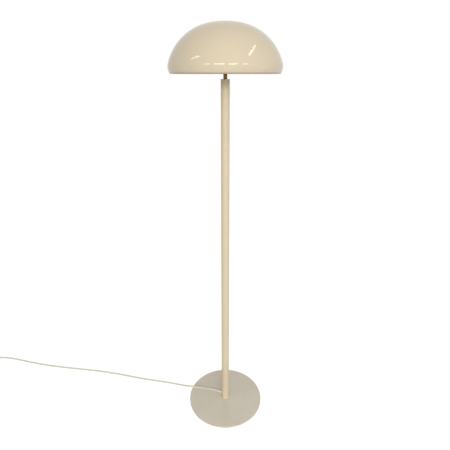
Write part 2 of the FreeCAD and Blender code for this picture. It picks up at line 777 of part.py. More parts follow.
def stadium(inset, low, high):
    """The foot switch's rounded outline, moved inwards by inset."""
    radius = SWITCH_W / 2 - inset
    reach = SWITCH_L / 2 - SWITCH_W / 2
    near = disc(radius, low, high, SWITCH_X, SWITCH_Y + reach)
    far = disc(radius, low, high, SWITCH_X, SWITCH_Y - reach)
    x = (SWITCH_X - radius, SWITCH_X + radius)
    middle = box(x, (SWITCH_Y - reach, SWITCH_Y + reach), (low, high))
    return near.fuse([middle, far]).removeSplitter()


def relief_way():
    """The round way through both ends of the foot switch."""
    start = Vector(SWITCH_X, SWITCH_FAR_Y - 1, SWITCH_SPLIT_Z)
    return along(Vector(0, 1, 0), start, Part.makeCylinder(SWITCH_RELIEF_R + FIT_GAP, SWITCH_L + 2))


def switch_screw_places():
    half = SWITCH_SCREW_APART / 2
    return [SWITCH_Y - half, SWITCH_Y + half]


def switch_boss_x():
    return SWITCH_X + SWITCH_W / 4


def switch_base():
    tray = stadium(0.0, SWITCH_FOOT_T, SWITCH_SPLIT_Z)
    tray = fillet_where(tray, SWITCH_WALL / 2, lambda e: at_height(e, SWITCH_FOOT_T))
    tray = tray.cut(stadium(SWITCH_WALL, SWITCH_FLOOR_Z, SWITCH_SPLIT_Z + 1))
    x = switch_boss_x()
    for y in switch_screw_places():
        tray = tray.fuse(disc(SWITCH_BOSS_R, SWITCH_FLOOR_Z, SWITCH_SPLIT_Z, x, y))
    for y in switch_screw_places():
        head_top = SWITCH_FOOT_T + SWITCH_SCREW_HEAD_T + LOOSE_GAP
        tray = tray.cut(disc(SWITCH_SCREW_HEAD_R + LOOSE_GAP, 0, head_top, x, y))
        tray = tray.cut(disc(SWITCH_SCREW_R + FIT_GAP, 0, SWITCH_SPLIT_Z + 1, x, y))
    return tray.cut(relief_way()).removeSplitter()


def switch_cover():
    cover = stadium(0.0, SWITCH_SPLIT_Z, SWITCH_TOP_Z)
    cover = fillet_where(cover, SWITCH_EDGE_R, lambda e: at_height(e, SWITCH_TOP_Z))
    hollow = stadium(SWITCH_WALL, SWITCH_SPLIT_Z - 1, COVER_ROOF_Z)
    round_over = SWITCH_EDGE_R - SWITCH_WALL
    hollow = fillet_where(hollow, round_over, lambda e: at_height(e, COVER_ROOF_Z))
    cover = cover.cut(hollow)
    x = switch_boss_x()
    top = SWITCH_FOOT_T + SWITCH_SCREW_L
    for y in switch_screw_places():
        boss = disc(SWITCH_BOSS_R, SWITCH_SPLIT_Z, COVER_ROOF_Z, x, y)
        cover = cover.fuse(boss)
        cover = cover.cut(disc(SWITCH_SCREW_R + FIT_GAP, SWITCH_SPLIT_Z - 1, top, x, y))
    hole = disc(BUTTON_R + LOOSE_GAP, COVER_ROOF_Z - 1, SWITCH_TOP_Z + 1, SWITCH_X, SWITCH_Y)
    return cover.cut(hole).cut(relief_way()).removeSplitter()


def switch_feet():
    feet = []
    across = SWITCH_W / 2 - SWITCH_FOOT_R - SWITCH_WALL
    reach = SWITCH_L / 2 - SWITCH_W / 2
    for x in (SWITCH_X - across, SWITCH_X + across):
        for y in (SWITCH_Y - reach / 2, SWITCH_Y + reach / 2):
            feet.append(disc(SWITCH_FOOT_R, 0.0, SWITCH_FOOT_T, x, y))
    return group(feet)


def switch_screws():
    screws = []
    head_low = SWITCH_FOOT_T + LOOSE_GAP
    head_top = SWITCH_FOOT_T + SWITCH_SCREW_HEAD_T + LOOSE_GAP
    end = SWITCH_FOOT_T + SWITCH_SCREW_L - LOOSE_GAP
    for y in switch_screw_places():
        head = disc(SWITCH_SCREW_HEAD_R, head_low, head_top, switch_boss_x(), y)
        shank = disc(SWITCH_SCREW_R, head_low, end, switch_boss_x(), y)
        screws.append(head.fuse(shank).removeSplitter())
    return group(screws)


def switch_reliefs():
    """A tapered sleeve at each end of the foot switch."""
    reliefs = []
    inside = 2 * SWITCH_WALL
    for way, edge_y in ((1, SWITCH_NEAR_Y), (-1, SWITCH_FAR_Y)):
        outline = [
            (0, -inside),
            (SWITCH_RELIEF_R, -inside),
            (SWITCH_RELIEF_R, 0),
            (SWITCH_RELIEF_TIP_R, SWITCH_RELIEF_L),
            (0, SWITCH_RELIEF_L),
        ]
        at = Vector(SWITCH_X, edge_y, SWITCH_SPLIT_Z)
        reliefs.append(along(Vector(0, way, 0), at, turned(outline)))
    return group(reliefs)


def switch_wires():
    """The two cores on each side, from the sheath's end to the contact block."""
    wires = []
    start = SWITCH_L / 2 - 2 * SWITCH_WALL
    end = BLOCK_L / 2
    for way in (-1, 1):
        for x in (SWITCH_X - CORE_APART / 2, SWITCH_X + CORE_APART / 2):
            at = Vector(x, SWITCH_Y + way * start, SWITCH_SPLIT_Z)
            wires.append(along(Vector(0, -way, 0), at, Part.makeCylinder(CORE_R, start - end)))
    return group(wires)


def switch_block():
    x = (SWITCH_X - BLOCK_W / 2, SWITCH_X + BLOCK_W / 2)
    y = (SWITCH_Y - BLOCK_L / 2, SWITCH_Y + BLOCK_L / 2)
    return box(x, y, (SWITCH_FLOOR_Z, BLOCK_TOP_Z))


def switch_button():
    """A round button held under the cover by its flange, hollow for the spring."""
    flange_top = COVER_ROOF_Z - LOOSE_GAP
    flange_low = flange_top - BUTTON_FLANGE_T
    top = disc(BUTTON_R, BUTTON_LOW_Z, BUTTON_TOP_Z, SWITCH_X, SWITCH_Y)
    top = fillet_where(top, BUTTON_EDGE_R, lambda e: at_height(e, BUTTON_TOP_Z))
    flange = disc(BUTTON_FLANGE_R, flange_low, flange_top, SWITCH_X, SWITCH_Y)
    hollow = disc(BUTTON_R - BUTTON_WALL, BUTTON_LOW_Z - 1, BUTTON_ROOF_Z, SWITCH_X, SWITCH_Y)
    return top.fuse(flange).cut(hollow).removeSplitter()


def helix_path(at, radius, low, high, turns):
    """A helix as arcs, with both ends level."""
    stations = 4 * turns
    places = []
    ways = []
    for k in range(stations + 1):
        share = k / stations
        angle = share * turns * FULL_TURN
        height = low + (high - low) * share
        places.append(at + Vector(radius * math.cos(angle), radius * math.sin(angle), height))
        way = Vector(-math.sin(angle), math.cos(angle), (high - low) / (turns * FULL_TURN * radius))
        ways.append(way / way.Length)
    edges = []
    for k in range(stations):
        pair, _ = biarc(places[k], ways[k], places[k + 1], ways[k + 1])
        edges += pair
    return edges


def switch_spring():
    low = BLOCK_TOP_Z + SPRING_WIRE_R + FIT_GAP
    high = BUTTON_ROOF_Z - SPRING_WIRE_R - FIT_GAP
    at = Vector(SWITCH_X, SWITCH_Y, 0)
    edges = helix_path(at, SPRING_R, low + SPRING_WIRE_R / 4, high - SPRING_WIRE_R / 4, SPRING_TURNS)
    solid, _ = swept(edges, SPRING_WIRE_R)
    return solid


def coil_place(turn):
    """A point of the coil after so many turns: in on the lower layer, up, and out on the upper."""
    layer = COIL_TURNS_PER_LAYER
    inner = COIL_R - COIL_STEP * layer
    if turn <= layer:
        radius = COIL_R - COIL_STEP * turn
        height = COIL_Z
    elif turn >= layer + 0.5:
        radius = inner + COIL_STEP * (turn - layer - 0.5)
        height = COIL_TOP_Z
    else:
        share = (turn - layer) * 2
        radius = inner - COIL_STEP / 4 * (1 - abs(2 * share - 1))
        height = COIL_Z + COIL_LAYER * (1 - math.cos(math.pi * share)) / 2
    angle = math.pi + turn * FULL_TURN
    return Vector(COIL_X + radius * math.cos(angle), COIL_Y + radius * math.sin(angle), height)


def coil_way(turn, last):
    if turn <= 0:
        return Vector(0, -1, 0)
    if turn >= last:
        return Vector(0, 1, 0)
    step = 0.004
    way = coil_place(turn + step) - coil_place(turn - step)
    return way / way.Length


def least_gap(edges, radius):
    """The least gap between stretches of a tube that aren't neighbours along it."""
    points = []
    for edge in edges:
        points += edge.discretize(5)[:-1]
    spacing = sum(e.Length for e in edges) / len(points)
    apart = int(8 * radius / spacing) + 1
    least = math.inf
    for k, point in enumerate(points):
        for other in points[k + apart:]:
            least = min(least, (other - point).Length)
    return least - 2 * radius


def cord_coil():
    last = 2 * COIL_TURNS_PER_LAYER + 0.5
    stations = int(last * 4)
    edges = [Part.LineSegment(COIL_IN, coil_place(0)).toShape()]
    tightest = math.inf
    for k in range(stations):
        here = k / 4
        there = (k + 1) / 4
        pair, radius = biarc(coil_place(here), coil_way(here, last), coil_place(there), coil_way(there, last))
        edges += pair
        tightest = min(tightest, radius)
    edges.append(Part.LineSegment(coil_place(last), COIL_OUT).toShape())
    solid, length = swept(edges, CORD_R)
    print(f"cord_coil: length {length:.1f}, least radius {tightest:.1f}")
    print(f"cord_coil: least gap to itself {least_gap(edges, CORD_R):.2f}")
    print(f"cord_coil: volume {solid.Volume:.1f}, section times length {math.pi * CORD_R ** 2 * length:.1f}")
    return solid


def cord_tie():
    """A flat band round the coil's bundle, where its strands lie in two rows of two."""
    outer_r = COIL_R - COIL_STEP * 0.75 + CORD_R
    inner_r = COIL_R - COIL_STEP * (COIL_TURNS_PER_LAYER - 0.25) - CORD_R
    x = (COIL_X - TIE_W / 2, COIL_X + TIE_W / 2)
    y = (COIL_Y + inner_r - TIE_GAP, COIL_Y + outer_r + TIE_GAP)
    z = (TIE_T, COIL_TOP_Z + CORD_R + TIE_GAP)
    corners = lambda e: abs(e.BoundBox.XLength - TIE_W) < 1e-4
    inside = fillet_where(box(x, y, z), TIE_CORNER_R, corners)
    outer_y = (y[0] - TIE_T, y[1] + TIE_T)
    outer_z = (z[0] - TIE_T, z[1] + TIE_T)
    outside = fillet_where(box(x, outer_y, outer_z), TIE_CORNER_R + TIE_T, corners)
    return outside.cut(inside)


def plug_body():
    """A flat two-pin plug, wide in the middle and narrower at both ends."""
    half = (PLUG_REAR_W / 2, PLUG_W / 2, PLUG_FRONT_W / 2)
    waist_y = (PLUG_REAR_Y + PLUG_FRONT_Y) / 2
    right = [
        Vector(PLUG_X + half[0], PLUG_REAR_Y, 0),
        Vector(PLUG_X + half[1], waist_y, 0),
        Vector(PLUG_X + half[2], PLUG_FRONT_Y, 0),
    ]
    left = [Vector(2 * PLUG_X - p.x, p.y, 0) for p in reversed(right)]
    body = Part.Face(Part.makePolygon(right + left + right[:1])).extrude(UP * PLUG_H)
    body = body.makeFillet(PLUG_EDGE_R, body.Edges)
    for x in pin_places():
        start = Vector(x, PLUG_FRONT_Y - PIN_IN_PLUG, PLUG_Z)
        hole = along(Vector(0, 1, 0), start, Part.makeCylinder(PIN_SHANK_R + FIT_GAP, PIN_IN_PLUG + 1))
        body = body.cut(hole)
    return body


def pin_places():
    return [PLUG_X - PIN_APART / 2, PLUG_X + PIN_APART / 2]


def plug_pins():
    """Round pins: a thin shank from inside the plug, and a full tip past the sleeve."""
    pins = []
    for x in pin_places():
        tip = fillet_where(disc(PIN_R, PIN_SLEEVE_L, PIN_L), PIN_R / 2, lambda e: at_height(e, PIN_L))
        pin = tip.fuse(disc(PIN_SHANK_R, -PIN_IN_PLUG, PIN_SLEEVE_L)).removeSplitter()
        pins.append(along(Vector(0, 1, 0), Vector(x, PLUG_FRONT_Y, PLUG_Z), pin))
    return group(pins)


def plug_pin_sleeves():
    sleeves = []
    for x in pin_places():
        sleeve = ring(PIN_SLEEVE_R, PIN_SHANK_R + FIT_GAP, 0, PIN_SLEEVE_L)
        sleeves.append(along(Vector(0, 1, 0), Vector(x, PLUG_FRONT_Y, PLUG_Z), sleeve))
    return group(sleeves)


def plug_relief():
    outline = [
        (0, 0),
        (PLUG_RELIEF_TIP_R, 0),
        (PLUG_RELIEF_R, PLUG_RELIEF_L),
        (0, PLUG_RELIEF_L),
    ]
    return along(Vector(0, 1, 0), Vector(PLUG_X, PLUG_RELIEF_Y, PLUG_Z), turned(outline))


# Foot
save("foot_pad", ring(PAD_R, PAD_HOLE_R, 0.0, PAD_T))
save("foot_disc", foot_disc())
save("foot_screw", foot_screw())

# Stem
save("stem_tube", stem_tube())
save("stem_plug", stem_plug())
save("stem_cap", stem_cap())

# Nipple and its stack
save("nipple", nipple())
save("lower_nut", lower_nut())
save("lower_washer", lower_washer())
save("copper_sleeve", copper_sleeve())
save("toothed_washer", toothed_washer())

# Shade and its carrier
save("carrier_hub", carrier_hub())
save("carrier_arms", carrier_arms())
save("carrier_tips", carrier_tips())
save("shade_dome", shade_dome())

# Lamp holder
save("holder_cap", holder_cap())
save("holder_grub_screw", holder_grub_screw())
save("holder_shell", holder_shell())
save("holder_insert", holder_insert())
save("holder_contact", holder_contact())
save("holder_screw_shell", holder_screw_shell())
save("holder_terminals", holder_terminals())
save("terminal_screws", terminal_screws())

# Bulb
save("bulb_globe", bulb_globe())
save("bulb_cap", bulb_cap())
save("bulb_contact", bulb_contact())

# Cord inside and outside the lamp
save("inner_cord", inner_cord())
save("core_wires", core_wires())
save("strain_relief", strain_relief())
save("cord_lead", tube("cord_lead", LEAD_POINTS, CORD_R))
save("cord_link", tube("cord_link", LINK_POINTS, CORD_R))
save("cord_coil", cord_coil())
save("cord_tail", tube("cord_tail", TAIL_POINTS, CORD_R))
save("cord_tie", cord_tie())

# Foot switch
save("switch_base", switch_base())
save("switch_cover", switch_cover())
save("switch_feet", switch_feet())
save("switch_screws", switch_screws())
save("switch_reliefs", switch_reliefs())
save("switch_wires", switch_wires())
save("switch_block", switch_block())
save("switch_spring", switch_spring())
save("switch_button", switch_button())

# Plug
save("plug_relief", plug_relief())
save("plug_body", plug_body())
save("plug_pins", plug_pins())
save("plug_pin_sleeves", plug_pin_sleeves())
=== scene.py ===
"""Builds the looks of a domed floor lamp round its packed construction model.

The frame gives every piece its place. Each operator makes one piece or one group of like
pieces, and main() calls them in order. All sizes are in metres.
"""

import json
import math

import bmesh
import bpy
from bpy.props import FloatProperty, FloatVectorProperty, PointerProperty
from mathutils import Matrix, Vector


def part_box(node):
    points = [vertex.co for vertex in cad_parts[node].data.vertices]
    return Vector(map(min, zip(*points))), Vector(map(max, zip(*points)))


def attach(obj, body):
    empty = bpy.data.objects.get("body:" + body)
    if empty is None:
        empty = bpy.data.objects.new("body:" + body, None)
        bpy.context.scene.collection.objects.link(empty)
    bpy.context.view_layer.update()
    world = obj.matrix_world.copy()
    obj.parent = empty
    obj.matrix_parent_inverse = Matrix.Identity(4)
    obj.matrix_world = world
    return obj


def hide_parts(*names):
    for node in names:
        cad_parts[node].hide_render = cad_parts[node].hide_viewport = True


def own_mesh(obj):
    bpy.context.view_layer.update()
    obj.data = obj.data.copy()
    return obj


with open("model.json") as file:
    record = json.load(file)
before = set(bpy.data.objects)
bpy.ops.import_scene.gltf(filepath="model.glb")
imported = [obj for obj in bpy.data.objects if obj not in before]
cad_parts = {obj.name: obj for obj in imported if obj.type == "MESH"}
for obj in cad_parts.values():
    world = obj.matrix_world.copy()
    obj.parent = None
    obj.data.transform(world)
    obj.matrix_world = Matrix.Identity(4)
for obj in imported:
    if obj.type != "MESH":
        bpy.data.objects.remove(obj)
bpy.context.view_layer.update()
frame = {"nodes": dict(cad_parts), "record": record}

bl_info = {
    "name": "Domed floor lamp",
    "version": (1, 0, 0),
    "blender": (4, 5, 0),
    "location": "View3D > Sidebar > Floor lamp",
    "description": "Builds a domed floor lamp piece by piece",
    "category": "Add Mesh",
}

MM = 0.001
FULL_TURN = 2 * math.pi
UP = Vector((0, 0, 1))


# ---------------------------------------------------------------- sizes and colours

FOOT_LOW, FOOT_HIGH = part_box("foot_disc")
PAD_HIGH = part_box("foot_pad")[1]
STEM_LOW, STEM_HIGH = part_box("stem_tube")
STEM_CAP_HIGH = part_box("stem_cap")[1]
SLEEVE_LOW, SLEEVE_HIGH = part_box("copper_sleeve")
SHADE_LOW, SHADE_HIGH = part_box("shade_dome")
BULB_LOW, BULB_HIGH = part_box("bulb_globe")
BULB_CAP_LOW, BULB_CAP_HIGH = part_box("bulb_cap")
SWITCH_LOW, SWITCH_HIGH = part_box("switch_cover")
BUTTON_LOW, BUTTON_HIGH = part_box("switch_button")
PLUG_LOW, PLUG_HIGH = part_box("plug_body")

# The strain relief's axis leaves the stem level, this far round from +X
EXIT_ANGLE = math.radians(160.0)
EXIT_WAY = Vector((math.cos(EXIT_ANGLE), math.sin(EXIT_ANGLE), 0))
EXIT_HEIGHT = 0.021
RELIEF_REACH = 0.04005
RELIEF_TIP = EXIT_WAY * RELIEF_REACH + UP * EXIT_HEIGHT

# The cord's middle line on the floor, and the places of its coil and its foot switch
FLOOR_Z = 0.0032
COIL_CENTRE = Vector((-1.021, -0.066, 0))
COIL_R = 0.039
SWITCH_CENTRE = Vector((COIL_CENTRE.x - COIL_R, 0.047, 0))
SWITCH_SPLIT_Z = SWITCH_LOW.z
SWITCH_IN = Vector((SWITCH_CENTRE.x, 0.104, SWITCH_SPLIT_Z))
SWITCH_OUT = Vector((SWITCH_CENTRE.x, -0.010, SWITCH_SPLIT_Z))

# The lead's points from the strain relief over the foot's edge and along the floor
LEAD_STRAIGHT = 0.014
SWITCH_STRAIGHT = 0.017
LEAD_WAY = (
    (-0.0650, 0.0250, 0.0168), (-0.0810, 0.0336, 0.0117), (-0.1010, 0.0384, 0.0113),
    (-0.1200, 0.0396, 0.0116), (-0.1415, 0.0426, 0.0118), (-0.1640, 0.0522, 0.0058),
    (-0.1870, 0.0604, 0.0035), (-0.2140, 0.0670, FLOOR_Z), (-0.2460, 0.0738, FLOOR_Z),
    (-0.2870, 0.0810, FLOOR_Z), (-0.3480, 0.0930, FLOOR_Z), (-0.4240, 0.1120, FLOOR_Z),
    (-0.5050, 0.1290, FLOOR_Z), (-0.5880, 0.1410, FLOOR_Z), (-0.6720, 0.1515, FLOOR_Z),
    (-0.7560, 0.1650, FLOOR_Z), (-0.8380, 0.1830, FLOOR_Z), (-0.9140, 0.2035, FLOOR_Z),
    (-0.9680, 0.2135, FLOOR_Z), (-1.0100, 0.2105, FLOOR_Z), (-1.0400, 0.1900, FLOOR_Z),
    (-1.0545, 0.1630, 0.0036), (-1.0595, 0.1400, 0.0062),
)
LEAD_POINTS = [
    RELIEF_TIP,
    RELIEF_TIP + EXIT_WAY * LEAD_STRAIGHT,
    *map(Vector, LEAD_WAY),
    SWITCH_IN + Vector((0, SWITCH_STRAIGHT, 0)),
    SWITCH_IN,
]

# The coil: in on the lower layer, up in the half turn where it reverses, out on the upper
COIL_Z = 0.00365
COIL_STEP = 0.0066
COIL_LAYER = 0.00645
COIL_TURNS_PER_LAYER = 2
COIL_STRAIGHT = 0.006
COIL_POINTS_PER_TURN = 16
COIL_IN = COIL_CENTRE + Vector((-COIL_R, COIL_STRAIGHT, COIL_Z))
COIL_OUT = COIL_CENTRE + Vector((COIL_R, COIL_STRAIGHT, COIL_Z + COIL_LAYER))

# From the switch into the coil, and from the coil to the plug
PLUG_X = COIL_OUT.x
PLUG_Z = 0.00685
PLUG_RELIEF_Y = -0.020
PLUG_REAR_Y = PLUG_LOW.y
PLUG_FRONT_Y = PLUG_HIGH.y
LINK_POINTS = [
    SWITCH_OUT,
    SWITCH_OUT - Vector((0, 0.012, 0)),
    Vector((SWITCH_CENTRE.x, -0.038, 0.0056)),
    COIL_IN + Vector((0, 0.010, 0)),
    COIL_IN,
]
TAIL_POINTS = [
    COIL_OUT,
    COIL_OUT + Vector((0, 0.009, 0)),
    Vector((PLUG_X, -0.040, 0.0086)),
    Vector((PLUG_X, PLUG_RELIEF_Y - 0.010, PLUG_Z)),
    Vector((PLUG_X, PLUG_RELIEF_Y, PLUG_Z)),
]


def srgb(red, green, blue):
    """A linear colour from the 0 to 255 values of a screen."""
    shares = [value / 255 for value in (red, green, blue)]
    return tuple(s / 12.92 if s <= 0.04045 else ((s + 0.055) / 1.055) ** 2.4 for s in shares)


def length_property(name, description, default):
    return FloatProperty(name=name, description=description, default=default, min=0.0, unit="LENGTH")


def angle_property(name, description, degrees):
    return FloatProperty(name=name, description=description, default=math.radians(degrees), unit="ROTATION")


def colour_property(name, description, default):
    return FloatVectorProperty(
        name=name, description=description, default=default, min=0.0, max=1.0, size=3, subtype="COLOR"
    )


class LampSizes(bpy.types.PropertyGroup):
    """Sizes that a user may change. The frame gives the main ones."""

    foot_radius: length_property("Foot radius", "Radius of the round foot", FOOT_HIGH.x)
    foot_edge: length_property("Foot edge", "Rounding of the foot's edges", 1.0 * MM)
    stem_radius: length_property("Stem radius", "Outer radius of the stem's tube", STEM_HIGH.x)
    stem_wall: length_property("Stem wall", "Wall of the stem's tube", 1.5 * MM)
    sleeve_radius: length_property("Sleeve radius", "Outer radius of the copper sleeve", SLEEVE_HIGH.x)
    shade_radius: length_property("Shade radius", "Widest radius of the shade", SHADE_HIGH.x)
    shade_wall: length_property("Shade wall", "Wall of the moulded shade", 2.5 * MM)
    shade_tuck_height: length_property("Tuck height", "Height of the widest line above the rim", 19.6 * MM)
    shade_tuck_radius: length_property("Tuck radius", "Radius of the tucked-in lower edge", 36.6 * MM)
    shade_shoulder_radius: length_property("Shoulder radius", "Radius of the shade's shoulder", 52.5 * MM)
    shade_crown_angle: angle_property("Crown angle", "Where the flat crown ends, from upright", 11.5)
    shade_shoulder_angle: angle_property("Shoulder angle", "Where the shoulder begins, from upright", 73.2)
    bulb_radius: length_property("Bulb radius", "Radius of the opal globe", BULB_HIGH.x)
    cord_radius: length_property("Cord radius", "Radius of the mains cord", 3.0 * MM)


class LampColours(bpy.types.PropertyGroup):
    """Colours that a user may change."""

    stand: colour_property("Stand", "Gloss paint of foot and stem", srgb(215, 199, 168))
    shade: colour_property("Shade", "Moulded shade", srgb(212, 197, 169))
    copper: colour_property("Sleeve", "Aged copper of the sleeve", srgb(148, 99, 54))
    cord: colour_property("Cord", "Sheath of the mains cord", srgb(224, 217, 200))
    switch: colour_property("Switch", "Casing of foot switch and plug", srgb(196, 192, 180))


def sizes():
    return bpy.context.scene.lamp_sizes


def colours():
    return bpy.context.scene.lamp_colours


# ---------------------------------------------------------------- meshes


def in_scene(name, data):
    """A new object with the data, linked to the scene."""
    item = bpy.data.objects.new(name, data)
    bpy.context.scene.collection.objects.link(item)
    return item


def mesh_of(name, bm):
    """The mesh of a bmesh, which is used up."""
    mesh = bpy.data.meshes.new(name)
    bm.to_mesh(mesh)
    bm.free()
    return mesh


def polar(radius, angle, z):
    """The point at this radius, angle from +X and height."""
    return Vector((radius * math.cos(angle), radius * math.sin(angle), z))


def ring(radius, z, count):
    """A level circle of points about the upright axis."""
    return [polar(radius, k * FULL_TURN / count, z) for k in range(count)]


def add_ring(bm, points):
    """The ring's vertices, or one vertex where the ring has shrunk to a point."""
    if (points[0] - points[len(points) // 2]).length < 1e-7:
        return [bm.verts.new(points[0])]
    return [bm.verts.new(p) for p in points]


def bridge(bm, one, two):
    """Faces between two rings of vertices, either of which may be a single point."""
    count = max(len(one), len(two))
    for k in range(count):
        n = (k + 1) % count
        corners = [one[k % len(one)], one[n % len(one)], two[n % len(two)], two[k % len(two)]]
        bm.faces.new(list(dict.fromkeys(corners)))


def loft(name, rings, closed=False, sharp=35.0):
    """A mesh object through rings of points. Open ends get a flat cap."""
    bm = bmesh.new()
    loops = [add_ring(bm, points) for points in rings]
    for one, two in zip(loops, loops[1:]):
        bridge(bm, one, two)
    if closed:
        bridge(bm, loops[-1], loops[0])
    else:
        for end in (loops[0], loops[-1]):
            if len(end) > 1:
                bm.faces.new(end)
    return finished(name, bm, sharp)


def finished(name, bm, sharp=35.0):
    """The object of a finished bmesh, smooth apart from edges that turn by more than sharp degrees."""
    bmesh.ops.recalc_face_normals(bm, faces=bm.faces)
    for face in bm.faces:
        face.smooth = True
    for edge in bm.edges:
        edge.smooth = edge.calc_face_angle(0.0) < math.radians(sharp)
    return in_scene(name, mesh_of(name, bm))


def lathe(name, outline, count=96, closed=False, sharp=35.0):
    """A mesh turned about Z from (radius, height) points."""
    return loft(name, [ring(r, z, count) for r, z in outline], closed, sharp)


def soften(outline, radius, closed=False, steps=4):
    """The same outline with each corner rounded off."""
    points = [Vector(p) for p in outline]
    count = len(points)
    result = []
    for k, corner in enumerate(points):
        if not closed and k in (0, count - 1):
            result.append(corner)
            continue
        come = corner - points[k - 1]
        leave = points[(k + 1) % count] - corner
        reach = min(radius * math.tan(come.angle(leave) / 2), 0.45 * come.length, 0.45 * leave.length)
        start = corner - come.normalized() * reach
        end = corner + leave.normalized() * reach
        for step in range(steps + 1):
            share = step / steps
            result.append(start.lerp(corner, share).lerp(corner.lerp(end, share), share))
    return result


def turn_to(piece, way, at):
    """Turns a piece that was built along +Z so that it runs along way from at, in its mesh."""
    turn = UP.rotation_difference(way).to_matrix().to_4x4()
    piece.data.transform(Matrix.Translation(at) @ turn)
    return piece


def rod(name, points, radius, count=20):
    """A round rod through points, with flat ends."""
    rings = []
    for k, point in enumerate(points):
        before = points[max(k - 1, 0)]
        after = points[min(k + 1, len(points) - 1)]
        turn = UP.rotation_difference(after - before).to_matrix()
        rings.append([point + turn @ p for p in ring(radius, 0, count)])
    return loft(name, rings)


def joined(name, pieces):
    """One object from several, which it replaces."""
    bm = bmesh.new()
    for piece in pieces:
        bm.from_mesh(piece.data)
        bpy.data.objects.remove(piece)
    return in_scene(name, mesh_of(name, bm))


def place(piece, slot, body, *nodes):
    """Gives a piece its finish, its body and the construction nodes that it stands for."""
    piece.data.materials.clear()
    piece.data.materials.append(finish(slot))
    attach(piece, body)
    if nodes:
        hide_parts(*nodes)
    return piece


# ---------------------------------------------------------------- finishes


class Finish:
    """A material's nodes, with short ways to add and join them."""

    def __init__(self, name, **shader_values):
        self.material = bpy.data.materials.new(name)
        self.material.use_nodes = True
        self.tree = self.material.node_tree
        self.shader = self.tree.nodes["Principled BSDF"]
        self.height = None
        for socket, value in shader_values.items():
            self.shader.inputs[socket.replace("_", " ")].default_value = value
        self.place = self.add("ShaderNodeTexCoord").outputs["Object"]

    def add(self, kind, inputs=None, **settings):
        node = self.tree.nodes.new(kind)
        for key, value in settings.items():
            setattr(node, key, value)
        for key, value in (inputs or {}).items():
            if isinstance(value, bpy.types.NodeSocket):
                self.tree.links.new(value, node.inputs[key])
            else:
                node.inputs[key].default_value = value
        return node

    def join(self, output, socket):
        self.tree.links.new(output, self.shader.inputs[socket])

    def stretched(self, x, y, z):
        """The place in the object, with each axis scaled."""
        node = self.add("ShaderNodeMapping", {"Vector": self.place, "Scale": (x, y, z)})
        return node.outputs["Vector"]

    def noise(self, scale, detail=3.0, rough=0.5, place=None, warp=0.0):
        inputs = {
            "Vector": place or self.place, "Scale": scale, "Detail": detail,
            "Roughness": rough, "Distortion": warp,
        }
        return self.add("ShaderNodeTexNoise", inputs).outputs["Fac"]

    def cells(self, scale):
        inputs = {"Vector": self.place, "Scale": scale}
        return self.add("ShaderNodeTexVoronoi", inputs).outputs["Distance"]

    def waves(self, scale, direction="Z", warp=0.0):
        inputs = {"Vector": self.place, "Scale": scale, "Distortion": warp}
        return self.add("ShaderNodeTexWave", inputs, bands_direction=direction).outputs["Fac"]

    def remap(self, value, start, end, low=0.0, high=1.0):
        """Start to end becomes low to high, held there past both ends."""
        inputs = {"Value": value, "From Min": start, "From Max": end, "To Min": low, "To Max": high}
        return self.add("ShaderNodeMapRange", inputs).outputs["Result"]

    def sums(self, operation, one, two):
        node = self.add("ShaderNodeMath", {0: one, 1: two}, operation=operation)
        return node.outputs["Value"]

    def mix(self, share, one, two):
        """A colour between two, each a colour or a node's output."""
        ends = [c if isinstance(c, bpy.types.NodeSocket) else (*c, 1.0) for c in (one, two)]
        inputs = {0: share, 6: ends[0], 7: ends[1]}
        return self.add("ShaderNodeMix", inputs, data_type="RGBA").outputs[2]

    def bump(self, height, distance, strength=1.0):
        """Adds relief on top of any that was added before."""
        inputs = {"Height": height, "Distance": distance, "Strength": strength}
        if self.height:
            inputs["Normal"] = self.height
        self.height = self.add("ShaderNodeBump", inputs).outputs["Normal"]
        self.join(self.height, "Normal")

    def from_axis(self):
        """The distance from the lamp's upright axis."""
        flat = self.add("ShaderNodeVectorMath", {0: self.place, 1: (1, 1, 0)}, operation="MULTIPLY")
        far = self.add("ShaderNodeVectorMath", {0: flat.outputs["Vector"]}, operation="LENGTH")
        return far.outputs["Value"]

    def facing_up(self):
        normal = self.add("ShaderNodeNewGeometry").outputs["Normal"]
        return self.add("ShaderNodeSeparateXYZ", {"Vector": normal}).outputs["Z"]

    def height_above_floor(self):
        return self.add("ShaderNodeSeparateXYZ", {"Vector": self.place}).outputs["Z"]


def tint(colour, factor):
    """The colour, lighter or darker by a factor."""
    return tuple(min(1.0, value * factor) for value in colour[:3])


def warm(colour, amount):
    """The colour shifted a little towards yellow."""
    return (colour[0], colour[1] * (1 - 0.2 * amount), colour[2] * (1 - amount))


